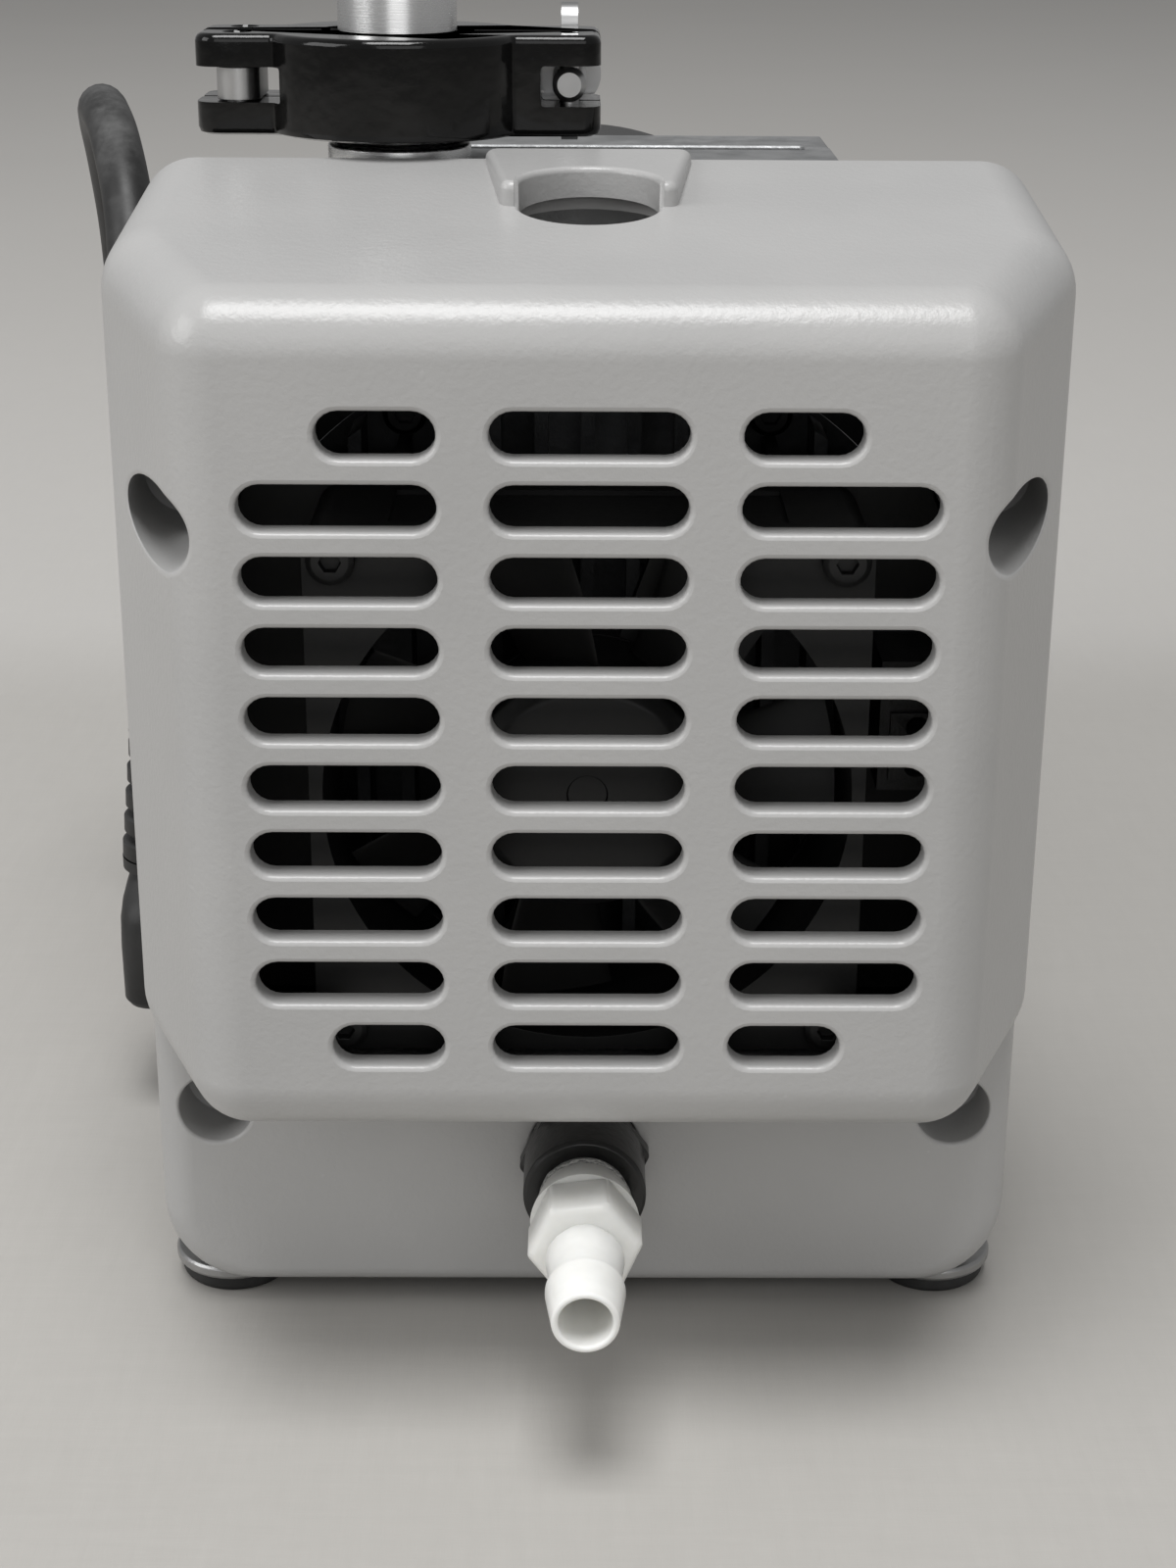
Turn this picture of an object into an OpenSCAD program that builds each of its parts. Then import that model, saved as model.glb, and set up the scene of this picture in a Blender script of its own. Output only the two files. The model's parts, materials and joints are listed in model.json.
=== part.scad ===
// Small dry scroll vacuum pump with a moulded front hood, flanged inlet, hose barb exhaust and mains lead.
// Millimetres. X to the right, Y to the rear, Z up. Depths are written from the hood's front face
// and moved to the shared frame by placed().

/* [Hood] */
// Width of the hood over its side walls
hood_width = 140; // [120:1:160]
// Height of the hood's top above the bench, at its front edge
hood_height = 175.2; // [160:0.2:200]
// Depth of the hood from its front face to its rear rim
hood_depth = 74; // [70:1:90]
// Width of the flat front face between the two side bevels
face_width = 111.2; // [90:0.2:120]
// Wall thickness of the hood
hood_wall = 4; // [2.5:0.5:5]
// Height of the underside of the projecting upper part
nose_bottom = 51.5; // [45:0.5:60]
// Depth at which the lower front plane stands behind the face
lower_set = 37; // [30:1:45]

/* [Grille] */
// Number of slot rows
slot_rows = 10; // [6:1:12]
// Distance between slot rows
slot_pitch = 10; // [8:0.5:10.5]
// Height of one slot
slot_height = 6.5; // [4:0.5:7]
// Length of one slot
slot_length = 27; // [20:1:28]
// Bar between two slots of one row
slot_gap = 7; // [5:0.5:9]

/* [Scroll set] */
// Pitch of the involute wraps
wrap_pitch = 14; // [12:0.5:16]
// Thickness of a wrap
wrap_thick = 3; // [2:0.25:4]
// Height of a wrap
wrap_height = 13; // [9:0.5:15]
// Turns of a wrap
wrap_turns = 3; // [2:0.25:3.25]
// Height of the shaft above the bench
shaft_height = 100; // [95:0.5:106]

/* [Body] */
// Overall length from the hose barb's tip to the rear cover
body_length = 358; // [330:1:400]
// Diameter of the motor over its fins
motor_diameter = 120; // [104:1:124]
// Width of the flat top of the castings
top_width = 84; // [70:1:100]

/* [Ports] */
// Bore of the vacuum inlet
inlet_bore = 16; // [12:0.5:18]
// Diameter of the two inlet flanges
flange_diameter = 30; // [28:0.5:34]
// Outer diameter of the exhaust barb's ridge
barb_diameter = 12; // [10:0.5:14]

/* [Mains lead] */
// Diameter of the mains lead
cord_diameter = 9; // [7:0.5:10]
// Full turns of the stored coil
coil_turns = 5; // [3:1:6]

/* [Hidden] */
$fn = 48;
front_y = 14.5 - body_length / 2;
bevel_x = face_width / 2;
side_x = hood_width / 2;
bevel_d = 34;
bevel_len = sqrt(pow(side_x - bevel_x, 2) + pow(bevel_d, 2));
bevel_nx = bevel_d / bevel_len;
bevel_nd = -(side_x - bevel_x) / bevel_len;
nose_r = 9;
nose_x = bevel_x - (nose_r + bevel_nd * nose_r) / bevel_nx;
top_slope = 0.12;
slope_a = atan(top_slope);
nose_lift = 1 / cos(slope_a);
bevel_a = atan((side_x - bevel_x) / bevel_d);
bevel_tilt = atan(top_slope * cos(bevel_a));
bevel_k = top_slope * sin(bevel_a) / (cos(bevel_tilt) + top_slope * cos(bevel_a) * sin(bevel_tilt));
pocket_x = side_x - 10;
pocket_z = [142.4, 37.3];
pocket_r = 6;
upper_floor = 44;
lower_floor = lower_set + 15;
post_r = pocket_r + 2.4;
stand_x = side_x - 13.5;
stand_z = [70, 130];
fan_z = 102;
top_height = hood_height + 5.3;
grille_top = hood_height - 17.95;
rows = min(slot_rows, 1 + floor((grille_top - nose_bottom - 12) / slot_pitch));
frame_d = 54;
scroll_r = 60;
ring_r = 52;
scroll_front = 56;
scroll_rear = 76;
wrap_a = wrap_pitch / (2 * PI);
wrap_start = 230;
wrap_end = 230 + wrap_turns * 300;
orbit_r = wrap_pitch / 2 - wrap_thick - 0.12;
orbit_plate_r = 46;
housing_rear = 119.4;
bell_front = 119.7;
bell_rear = 137;
motor_rear = body_length - 76;
endbell_rear = motor_rear + 14;
core_front = bell_rear + 28;
core_rear = motor_rear - 32;
cover_rear = body_length - 14.5;
shaft_r = 7.5;
stub_r = 6;
inlet_x = -30.5;
inlet_d = hood_depth + 18;
screw_end = inlet_d - inlet_bore / 2 - 2;
joint_z = top_height + 13.75;
clamp_h = 15.5;
lug_x0 = -62;
lug_x1 = 2;
link_x = -55.5;
link_d = [inlet_d - 5.5, inlet_d + 5.5];
bolt_x = -3;
bolt_pin_d = inlet_d - 4.5;
exhaust_z = 30;
elbow_d = 52;
plate_z = 5;
plate_t = 3;
foot_x = side_x - 10.5;
foot_d = [51, body_length - 30];
bench_x = 52;
bench_d = [88, body_length - 52];
box_top = 56;
box_x1 = -sqrt(pow(motor_diameter / 2, 2) - pow(shaft_height - box_top, 2)) - 2.2;
box_x0 = box_x1 - 21;
box_d0 = 100;
box_d1 = 212;
inlet_c13 = [120, 32];
switch_c = [176, 32];
lead_x = box_x0 - 16;
lead_d = inlet_c13[0];
relief_z = 74;
cord_r = cord_diameter / 2;
coil_gap = 0.6;
coil_pitch = cord_diameter + coil_gap;
coil_rise = cord_diameter + coil_gap;
coil_mid = 5.6 * cord_diameter;
coil_z = cord_r + 1.4;
layer_turns = coil_turns / 2;
coil_out = coil_mid + coil_pitch * layer_turns / 2;
ring_step = 15;

// The lead's route: up from the relief, over in an arch behind the hood's shoulder, down to the bench, back to the coil
route = [[-80, 120, 73], [-80, 120, 87], [-80, 120, 103], [-80, 120, 120], [-80, 120, 136.6],
    [-80.3, 123.5, 153.8], [-82.2, 133.2, 168.4], [-86.4, 147.8, 178.2], [-91.2, 165, 181.6],
    [-94.8, 182.2, 178.2], [-96.3, 196.8, 168.4], [-96.6, 206.6, 153.8], [-96.5, 210, 136.6],
    [-96.5, 210, 119], [-96.5, 210, 102], [-96.5, 210, 85], [-96.5, 210, 68],
    [-96.5, 210, 51.2], [-96.5, 213.5, 33.6], [-96.5, 223.5, 18.7], [-96.5, 238.4, 8.7],
    [-96.5, 256, 5.2], [-96.3, 275, 5.2], [-94.6, 294, 5.2], [-89.6, 313, 5.2],
    [-82.8, 332, 5.2], [-75.9, 351, 5.4], [-70.9, 370, 5.6],
    [-69, 389, coil_z], [-69, 400, coil_z], [-69, 407, coil_z], [-69, 414, coil_z]];
run_end = route[len(route) - 1];
run_path = path_points(route, 3);
coil_c = [run_end[0] + coil_out, run_end[1] + cord_diameter];
coil_a0 = 180;
coil_steps = round(coil_turns * 360 / ring_step);
coil_body = [for (i = [0:coil_steps]) let(a = coil_a0 - i * ring_step)
    [coil_c[0] + coil_radius(i) * cos(a), coil_c[1] + coil_radius(i) * sin(a), coil_height(i)]];
coil_first = coil_body[0] - [0, cord_diameter, 0];
coil_last = coil_body[coil_steps] + [0, cord_diameter, 0];
coil_path = concat([coil_first], coil_body, [coil_last]);
tail_end_z = 12 - coil_last[2];
tail_route = [coil_last, coil_last + [0, 7, 0], coil_last + [0, 14, 0], coil_last + [1.2, 28, tail_end_z / 2],
    coil_last + [4, 42, tail_end_z], coil_last + [7.6, 56, tail_end_z]];
tail_path = path_points(tail_route, 2);
plug_at = tail_route[5];
plug_turn = -atan(3.6 / 14);
tie_half = coil_pitch * layer_turns / 2 + cord_r + 0.5;

module placed() {
    translate([0, front_y, 0]) children();
}

// A bar along the depth from d0 to d1
module bar(x, z, d0, d1, r) {
    translate([x, d0, z]) rotate([-90, 0, 0]) cylinder(h = d1 - d0, r = r);
}

module cone_bar(x, z, d0, d1, r0, r1) {
    translate([x, d0, z]) rotate([-90, 0, 0]) cylinder(h = d1 - d0, r1 = r0, r2 = r1);
}

module block(x0, x1, d0, d1, z0, z1) {
    translate([x0, d0, z0]) cube([x1 - x0, d1 - d0, z1 - z0]);
}

// A hexagonal bar along the depth, af across the flats, turned by a degrees
module hex_bar(x, z, d0, d1, af, a = 0) {
    translate([x, d0, z]) rotate([-90, 0, 0]) rotate([0, 0, a]) cylinder(h = d1 - d0, r = af / sqrt(3), $fn = 6);
}

// A rounded rectangle in the plane of X and Z, extruded along the depth
module round_block(x0, x1, z0, z1, d0, d1, r) {
    translate([0, d1, 0]) rotate([90, 0, 0]) linear_extrude(d1 - d0) round_flat(x0, x1, z0, z1, r);
}

module round_flat(x0, x1, y0, y1, r) {
    translate([x0 + r, y0]) square([x1 - x0 - 2 * r, y1 - y0]);
    translate([x0, y0 + r]) square([x1 - x0, y1 - y0 - 2 * r]);
    for (x = [x0 + r, x1 - r], y = [y0 + r, y1 - r])
        translate([x, y]) circle(r);
}

module stadium(cx, cz, len, h, d0, d1) {
    translate([0, d1, 0]) rotate([90, 0, 0]) linear_extrude(d1 - d0) {
        translate([cx - len / 2 + h / 2, cz - h / 2]) square([len - h, h]);
        for (s = [-1, 1])
            translate([cx + s * (len - h) / 2, cz]) circle(h / 2, $fn = 24);
    }
}

// HOOD
// The hood's plan: front corners of radius r, bevels, sides
module nose_plan(inset, r, turn_d, end) {
    x = side_x - inset;
    polygon([[-nose_x, inset], [nose_x, inset], [nose_x + r * bevel_nx, nose_r + r * bevel_nd], [x, turn_d], [x, end],
        [-x, end], [-x, turn_d], [-nose_x - r * bevel_nx, nose_r + r * bevel_nd]]);
    for (s = [-1, 1])
        translate([s * nose_x, nose_r]) circle(r);
}

// The hood seen from the side: depth and height, with rounded front edges and the sloping top
module nose_side(inset, r, bottom, end) {
    top = hood_height - inset * nose_lift;
    centre = hood_height + top_slope * nose_r - nose_r * nose_lift;
    translate([inset, bottom + r]) square([end - inset, centre - bottom - r]);
    polygon([[nose_r, bottom], [end, bottom], [end, top + top_slope * end],
        [nose_r - r * sin(slope_a), centre + r * cos(slope_a)], [nose_r, centre]]);
    for (z = [bottom + r, centre])
        translate([nose_r, z]) circle(r);
}

// Everything inside the rounded edge between a bevel and the sloping top, the edge along the depth through the origin
module bevel_top_round(r) {
    h = sqrt(1 + bevel_k * bevel_k);
    translate([0, 90, 0]) rotate([90, 0, 0]) linear_extrude(220) {
        polygon([[-220, -250], [0, -250], [0, bevel_k * r - r * h], [-r, bevel_k * r - r * h],
            [r * bevel_k / h - r, bevel_k * r - r * h + r / h], [-220, 220 * bevel_k]]);
        translate([-r, bevel_k * r - r * h]) circle(r);
    }
}

// The upper part of the hood, drawn in by the given inset, back to depth end: its outlines crossed, then its edges rounded
module nose_body(inset, end, bottom) {
    r = nose_r - inset;
    x = side_x - inset;
    top = hood_height - inset * nose_lift;
    turn_d = bevel_d + inset * (1 + bevel_nd) / bevel_nx;
    low_r = max(7 - inset, 1);
    intersection() {
        translate([0, 0, bottom]) linear_extrude(hood_height) nose_plan(inset, r, turn_d, end);
        translate([-x - 1, 0, 0]) rotate([90, 0, 90]) linear_extrude(2 * x + 2) nose_side(inset, r, bottom, end);
        translate([0, 0, top]) rotate([slope_a, 0, 0]) round_block(-x, x, -220, 0, -40, end + 40, r);
        round_block(-x, x, bottom, 300, inset - 1, end + 1, low_r);
        for (s = [0, 1])
            mirror([s, 0, 0]) translate([x, turn_d, top + top_slope * turn_d]) rotate([0, 0, -bevel_a]) rotate([bevel_tilt, 0, 0])
                bevel_top_round(r);
        for (s = [0, 1])
            mirror([s, 0, 0]) translate([x, turn_d, bottom]) rotate([0, 0, -bevel_a]) round_block(-220, 0, 0, 250, -130, 90, low_r);
    }
}

// The lower part of the hood behind the set-back front plane: three rounded outlines crossed
module skirt_body(inset, end) {
    x = side_x - inset;
    low = 4.5 + inset;
    intersection() {
        round_block(-x, x, low, 90, lower_set + inset, end, 14 - inset);
        linear_extrude(62) round_flat(-x, x, lower_set + inset, end + 20, 6 - inset);
        translate([-x - 1, 0, 0]) rotate([90, 0, 90]) linear_extrude(2 * x + 2)
            round_flat(lower_set + inset, end + 20, low, 90, max(3 - inset, 0.6));
    }
}

function slot_reach(row) = (row == 0 || row == rows - 1) ? 0.6 : 1;

module grille_slots() {
    for (row = [0:rows - 1]) {
        z = grille_top - row * slot_pitch;
        stadium(0, z, slot_length, slot_height, -1, hood_wall + 2);
        for (s = [-1, 1]) {
            len = slot_length * slot_reach(row);
            stadium(s * (slot_length / 2 + slot_gap + len / 2), z, len, slot_height, -1, hood_wall + 2);
        }
    }
}

module top_pad() {
    translate([0, 46, hood_height + top_slope * 46 - 2]) rotate([atan(top_slope), 0, 0]) hull() {
        for (p = [[0, 0], [3.7, 0], [5.3, 1.6]]) {
            translate([0, 0, p[0]]) linear_extrude(0.01)
                polygon([[-12.2 + p[1], p[1]], [12.2 - p[1], p[1]], [14.5 - p[1], 28], [-14.5 + p[1], 28]]);
        }
    }
}

module front_cover() {
    color([0.72, 0.73, 0.74]) placed() difference() {
        union() {
            nose_body(0, hood_depth, nose_bottom);
            skirt_body(0, hood_depth);
            top_pad();
        }
        difference() {
            union() {
                nose_body(hood_wall, hood_depth + 1, nose_bottom + hood_wall);
                skirt_body(hood_wall, hood_depth + 1);
            }
            for (s = [-1, 1]) {
                bar(s * pocket_x, pocket_z[0], 2, upper_floor, post_r);
                bar(s * pocket_x, pocket_z[1], lower_set + 1, lower_floor, post_r);
            }
        }
        block(-side_x + 14, side_x - 14, lower_set + hood_wall, hood_depth + 1, -1, 30);
        for (s = [-1, 1])
            block(s * side_x - 20, s * side_x + 20, lower_set + hood_wall, hood_depth + 1, -1, 9);
        grille_slots();
        for (s = [-1, 1]) {
            bar(s * pocket_x, pocket_z[0], -1, upper_floor - hood_wall, pocket_r);
            bar(s * pocket_x, pocket_z[1], lower_set - 1, lower_floor - hood_wall, pocket_r);
            for (z = pocket_z)
                bar(s * pocket_x, z, 10, frame_d + 2, 2.3, $fn = 24);
        }
        translate([0, 47.5, 160]) cylinder(h = 40, r = 10);
        bar(0, exhaust_z, lower_set - 2, lower_set + hood_wall + 2, 9);
    }
}

// One pan head screw along the depth: head from d0, shank to d1
module pan_screw(x, z, d0, d1, r, head_r, head_h) {
    difference() {
        union() {
            bar(x, z, d0 + head_h - 0.01, d1, r, $fn = 24);
            cone_bar(x, z, d0, d0 + 0.6, head_r - 0.8, head_r, $fn = 32);
            bar(x, z, d0 + 0.6, d0 + head_h, head_r, $fn = 32);
        }
        hex_bar(x, z, d0 - 1, d0 + head_h * 0.6, r * 1.5);
    }
}

module cover_screws() {
    color([0.75, 0.75, 0.77]) placed() for (s = [-1, 1]) {
        pan_screw(s * pocket_x, pocket_z[0], upper_floor - hood_wall - 3, frame_d + 2, 2, 3.8, 3);
        pan_screw(s * pocket_x, pocket_z[1], lower_floor - hood_wall - 3, frame_d + 6, 2, 3.8, 3);
    }
}

// FAN
module fan_bracket() {
    color([0.07, 0.07, 0.075]) placed() difference() {
        union() {
            round_block(-stand_x - 4, stand_x + 4, 60, 145, 36, 37.5, 5);
            for (x = [-stand_x, stand_x], z = stand_z)
                bar(x, z, 37.5, frame_d, 3.4);
        }
        bar(0, fan_z, 35, 39, 38);
        for (x = [-stand_x, stand_x], z = stand_z)
            bar(x, z, 35, frame_d + 1, 1.6, $fn = 24);
        for (x = [-pocket_x, pocket_x])
            bar(x, pocket_z[0], 35, 39, post_r + 0.6);
        for (x = [-35.75, 35.75], z = [-35.75, 35.75])
            bar(x, fan_z + z, 35, 38.5, 1.9, $fn = 24);
    }
}

module fan_frame() {
    color([0.1, 0.1, 0.11]) placed() difference() {
        union() {
            difference() {
                round_block(-40, 40, fan_z - 40, fan_z + 40, 10, 35.7, 4);
                bar(0, fan_z, 9, 37, 38);
                for (a = [0:90:270])
                    translate([0, 0, fan_z]) rotate([0, a, 0]) block(-28, 28, 14, 31.7, 39.2, 41);
            }
            bar(0, fan_z, 32, 35.7, 18);
            for (a = [20:90:290])
                translate([0, 0, fan_z]) rotate([0, a, 0]) block(-1.5, 1.5, 32.4, 35.4, 15, 39);
        }
        for (x = [-35.75, 35.75], z = [-35.75, 35.75])
            bar(x, fan_z + z, 9, 37, 2.2, $fn = 24);
        bar(0, fan_z, 28, 34.4, 3.1);
    }
}

module fan_rotor() {
    color([0.08, 0.08, 0.09]) placed() union() {
        difference() {
            bar(0, fan_z, 11.5, 31.4, 18);
            bar(0, fan_z, 14, 32, 16.2);
        }
        bar(0, fan_z, 12, 34, 3);
        for (a = [0:360 / 7:359])
            translate([0, 21.5, fan_z]) rotate([0, a, 0]) rotate([0, 0, 38])
                translate([-1, -9.5, 17]) cube([2, 19, 19.6]);
    }
}

module fan_screws() {
    color([0.09, 0.09, 0.095]) placed() for (x = [-35.75, 35.75], z = [-35.75, 35.75])
        pan_screw(x, fan_z + z, 7.4, 40, 1.8, 3.4, 2.6);
}

module terminal_block() {
    color([0.13, 0.13, 0.14]) placed() difference() {
        union() {
            block(43, 54, 22, 36, 99, 119);
            for (z = [101, 107, 113])
                block(44.5, 52.5, 20.8, 22.1, z, z + 4.4);
        }
        for (z = [103.2, 109.2, 115.2])
            bar(48.5, z, 20, 31, 1.7, $fn = 24);
    }
}

// Sheet steel frame that carries the hood and the fan
module front_frame() {
    color([0.07, 0.07, 0.075]) placed() difference() {
        union() {
            round_block(-side_x + 6, side_x - 6, 12, 160, frame_d, frame_d + 2, 4);
            block(-56, 56, frame_d, frame_d + 16, plate_z + plate_t, plate_z + plate_t + 2);
            block(-56, 56, frame_d, frame_d + 2, plate_z + plate_t, 20);
            for (s = [-1, 1]) {
                bar(s * pocket_x, pocket_z[0], upper_floor + 0.2, frame_d + 3, 3.8);
                bar(s * pocket_x, pocket_z[1], lower_floor + 0.2, frame_d + 5, 4);
            }
        }
        bar(0, shaft_height, frame_d - 1, frame_d + 3, scroll_r + 0.3);
        block(-10, 10, frame_d - 1, frame_d + 3, 18, 45);
        for (s = [-1, 1]) {
            for (z = pocket_z)
                bar(s * pocket_x, z, 20, 66, 2.1, $fn = 24);
            for (z = stand_z)
                bar(s * stand_x, z, frame_d - 1, frame_d + 3, 1.8, $fn = 24);
            translate([s * 40, frame_d + 10, 0]) cylinder(h = 14, r = 2.4, $fn = 24);
        }
    }
}

// SCROLLS
// Points of one involute flank from angle a0 to a1 with a normal shift
function flank(a0, a1, shift, n) = [for (i = [0:n]) let(a = a0 + (a1 - a0) * i / n, w = a * PI / 180)
    [wrap_a * (cos(a) + (w + shift) * sin(a)), wrap_a * (sin(a) - (w + shift) * cos(a))]];

function reversed(v) = [for (i = [len(v) - 1:-1:0]) v[i]];

module wrap_flat(thick, a0, a1) {
    half = thick / 2 / wrap_a;
    n = round((a1 - a0) / 7.5);
    polygon(concat(flank(a0, a1, half, n), reversed(flank(a0, a1, -half, n))));
}

// A wrap standing on depth d0 and reaching to d1
module wrap(d0, d1, thick, a0, a1) {
    translate([0, d1, shaft_height]) rotate([90, 0, 0]) linear_extrude(d1 - d0) wrap_flat(thick, a0, a1);
}

module fixed_scroll() {
    color([0.68, 0.69, 0.71]) placed() difference() {
        union() {
            bar(0, shaft_height, scroll_front, scroll_front + 6, scroll_r);
            difference() {
                bar(0, shaft_height, scroll_front + 5, scroll_rear, scroll_r);
                bar(0, shaft_height, scroll_front + 6, scroll_rear + 1, ring_r);
            }
            intersection() {
                bar(0, shaft_height, 44, scroll_front + 1, scroll_r - 1);
                for (x = [-49:7:49])
                    block(x - 1, x + 1, 44, scroll_front + 1, 30, 170);
            }
            translate([0, elbow_d, shaft_height - scroll_r - 2]) cylinder(h = scroll_r + 8, r = 8);
            wrap(scroll_front + 5, scroll_front + 6 + wrap_height, wrap_thick, wrap_start, wrap_end);
        }
        translate([0, elbow_d, shaft_height - scroll_r - 3]) cylinder(h = 14, r = 6);
        translate([0, elbow_d, shaft_height - scroll_r]) cylinder(h = scroll_r + 4, r = 4.5);
        bar(0, shaft_height, elbow_d, scroll_front + 7, 4.4);
        for (a = [0:60:300])
            bar(56 * cos(a), shaft_height + 56 * sin(a), 40, scroll_rear + 1, 2.2, $fn = 24);
        for (a = [0:60:300])
            bar(56 * cos(a), shaft_height + 56 * sin(a), 40, scroll_front, 4);
        wrap(scroll_front + 5 + wrap_height, scroll_front + 7 + wrap_height, 1.5, wrap_start + 30, wrap_end - 20);
    }
}

module scroll_screws() {
    color([0.7, 0.7, 0.72]) placed() for (a = [0:60:300])
        pan_screw(56 * cos(a), shaft_height + 56 * sin(a), scroll_front - 3.2, screw_end, 2, 3.4, 3.2);
}

module fixed_tip_seal() {
    color([0.9, 0.88, 0.82]) placed()
        wrap(scroll_front + 5.02 + wrap_height, scroll_front + 6.1 + wrap_height, 1.4, wrap_start + 31, wrap_end - 21);
}

module orbiting_scroll() {
    color([0.66, 0.67, 0.69]) placed() difference() {
        union() {
            translate([orbit_r, 0, 0]) {
                bar(0, shaft_height, scroll_rear - 0.7, scroll_rear + 6, orbit_plate_r);
                bar(0, shaft_height, scroll_rear + 5, scroll_rear + 20, 17);
                for (a = [90:120:330])
                    bar(36 * cos(a), shaft_height + 36 * sin(a), scroll_rear + 5, scroll_rear + 12, 8);
            }
            translate([orbit_r, 0, shaft_height]) rotate([0, 180, 0]) translate([0, 0, -shaft_height])
                wrap(scroll_rear - 0.7 - wrap_height, scroll_rear, wrap_thick, wrap_start, wrap_end);
        }
        translate([orbit_r, 0, 0]) {
            bar(0, shaft_height, scroll_rear + 8, scroll_rear + 21, 13);
            bar(0, shaft_height, scroll_rear + 7, scroll_rear + 21, 8);
            for (a = [90:120:330])
                bar(36 * cos(a), shaft_height + 36 * sin(a), scroll_rear + 6.5, scroll_rear + 13, 4.05);
        }
        translate([orbit_r, 0, shaft_height]) rotate([0, 180, 0]) translate([0, 0, -shaft_height])
            wrap(scroll_rear - 1.7 - wrap_height, scroll_rear + 0.3 - wrap_height, 1.5, wrap_start + 30, wrap_end - 20);
    }
}

module orbit_tip_seal() {
    color([0.9, 0.88, 0.82]) placed()
        translate([orbit_r, 0, shaft_height]) rotate([0, 180, 0]) translate([0, 0, -shaft_height])
            wrap(scroll_rear - 0.8 - wrap_height, scroll_rear + 0.28 - wrap_height, 1.4, wrap_start + 31, wrap_end - 21);
}

// DRIVE
module race(x, z, d0, d1, r0, r1) {
    gap = (r1 - r0) / 3;
    difference() {
        bar(x, z, d0, d1, r1);
        bar(x, z, d0 - 1, d1 + 1, r0);
        difference() {
            bar(x, z, d0 - 1, d0 + 0.8, r1 - gap);
            bar(x, z, d0 - 2, d0 + 2, r0 + gap);
        }
        difference() {
            bar(x, z, d1 - 0.8, d1 + 1, r1 - gap);
            bar(x, z, d1 - 2, d1 + 2, r0 + gap);
        }
    }
}

module orbit_bearing() {
    color([0.78, 0.78, 0.8]) placed() race(orbit_r, shaft_height, scroll_rear + 8, scroll_rear + 18, 6.05, 13);
}

module crankshaft() {
    color([0.74, 0.74, 0.76]) placed() union() {
        bar(orbit_r, shaft_height, scroll_rear + 8.6, scroll_rear + 22, stub_r);
        bar(0, shaft_height, scroll_rear + 21, scroll_rear + 24, 11);
        bar(0, shaft_height, scroll_rear + 23, motor_rear + 2, shaft_r);
        bar(0, shaft_height, motor_rear + 1, cover_rear - 20, stub_r);
    }
}

module counterweight() {
    color([0.55, 0.5, 0.42]) placed() difference() {
        union() {
            bar(0, shaft_height, 112, 118, 12);
            intersection() {
                bar(0, shaft_height, 112, 118, 36);
                block(-40, -4, 111, 119, shaft_height - 30, shaft_height + 30);
            }
        }
        bar(0, shaft_height, 111, 119, shaft_r);
    }
}

module front_bearing() {
    color([0.78, 0.78, 0.8]) placed() race(0, shaft_height, 101, 110, shaft_r + 0.03, 16);
}

module rear_bearing() {
    color([0.78, 0.78, 0.8]) placed() race(0, shaft_height, motor_rear + 2.4, motor_rear + 10.4, stub_r + 0.03, 14);
}

// An eccentric pin set that keeps the orbiting scroll from turning
module crank_pin(a) {
    x = 36 * cos(a);
    z = shaft_height + 36 * sin(a);
    color([0.7, 0.7, 0.72]) placed() union() {
        bar(x + orbit_r, z, scroll_rear + 7, scroll_rear + 14.5, 4);
        bar(x, z, scroll_rear + 14, scroll_rear + 17, 9);
        bar(x, z, scroll_rear + 16, scroll_rear + 26, 4);
    }
}

module crank_a() {
    crank_pin(90);
}

module crank_b() {
    crank_pin(210);
}

module crank_c() {
    crank_pin(330);
}

// CASTINGS
module pump_housing() {
    color([0.58, 0.59, 0.6]) placed() difference() {
        union() {
            bar(0, shaft_height, scroll_rear, housing_rear, scroll_r);
            block(-top_width / 2, top_width / 2, scroll_rear, housing_rear, shaft_height, top_height);
            block(-40, 40, scroll_rear, housing_rear, plate_z + plate_t, shaft_height - 40);
        }
        bar(0, shaft_height, scroll_rear - 1, scroll_rear + 18, 53);
        bar(0, shaft_height, scroll_rear + 17, scroll_rear + 24.8, 22);
        difference() {
            bar(0, shaft_height, scroll_rear + 28, housing_rear + 1, 52);
            bar(0, shaft_height, scroll_rear + 27, 110.5, 21);
        }
        bar(0, shaft_height, scroll_rear + 10, housing_rear + 1, 12);
        bar(0, shaft_height, 101, 111, 16);
        for (a = [90:120:330])
            bar(36 * cos(a), shaft_height + 36 * sin(a), scroll_rear + 10, scroll_rear + 26.5, 4.05);
        for (a = [0:60:300])
            bar(56 * cos(a), shaft_height + 56 * sin(a), scroll_rear - 1, screw_end + 0.5, 2.05, $fn = 24);
        translate([inlet_x, inlet_d, shaft_height + 40]) cylinder(h = 50, r = inlet_bore / 2);
        translate([inlet_x, inlet_d, top_height - 12]) cylinder(h = 13, r = 10);
        block(12, 50, scroll_rear + 8, housing_rear - 8, 163, 175);
        block(-30, 30, scroll_rear + 8, housing_rear - 8, -1, 32);
    }
}

module bell_housing() {
    color([0.5, 0.51, 0.53]) placed() difference() {
        union() {
            bar(0, shaft_height, bell_front, bell_rear, scroll_r);
            block(-top_width / 2, top_width / 2, bell_front, bell_rear, shaft_height, top_height);
            block(-40, 40, bell_front, bell_rear, plate_z + plate_t, shaft_height - 40);
        }
        bar(0, shaft_height, bell_front - 1, bell_rear + 1, 20);
        bar(0, shaft_height, bell_front + 6, bell_rear + 1, 48);
        for (x = [-34, 34])
            block(x - 4, x + 4, bell_front + 6, bell_rear + 1, 160, 174);
    }
}

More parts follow.
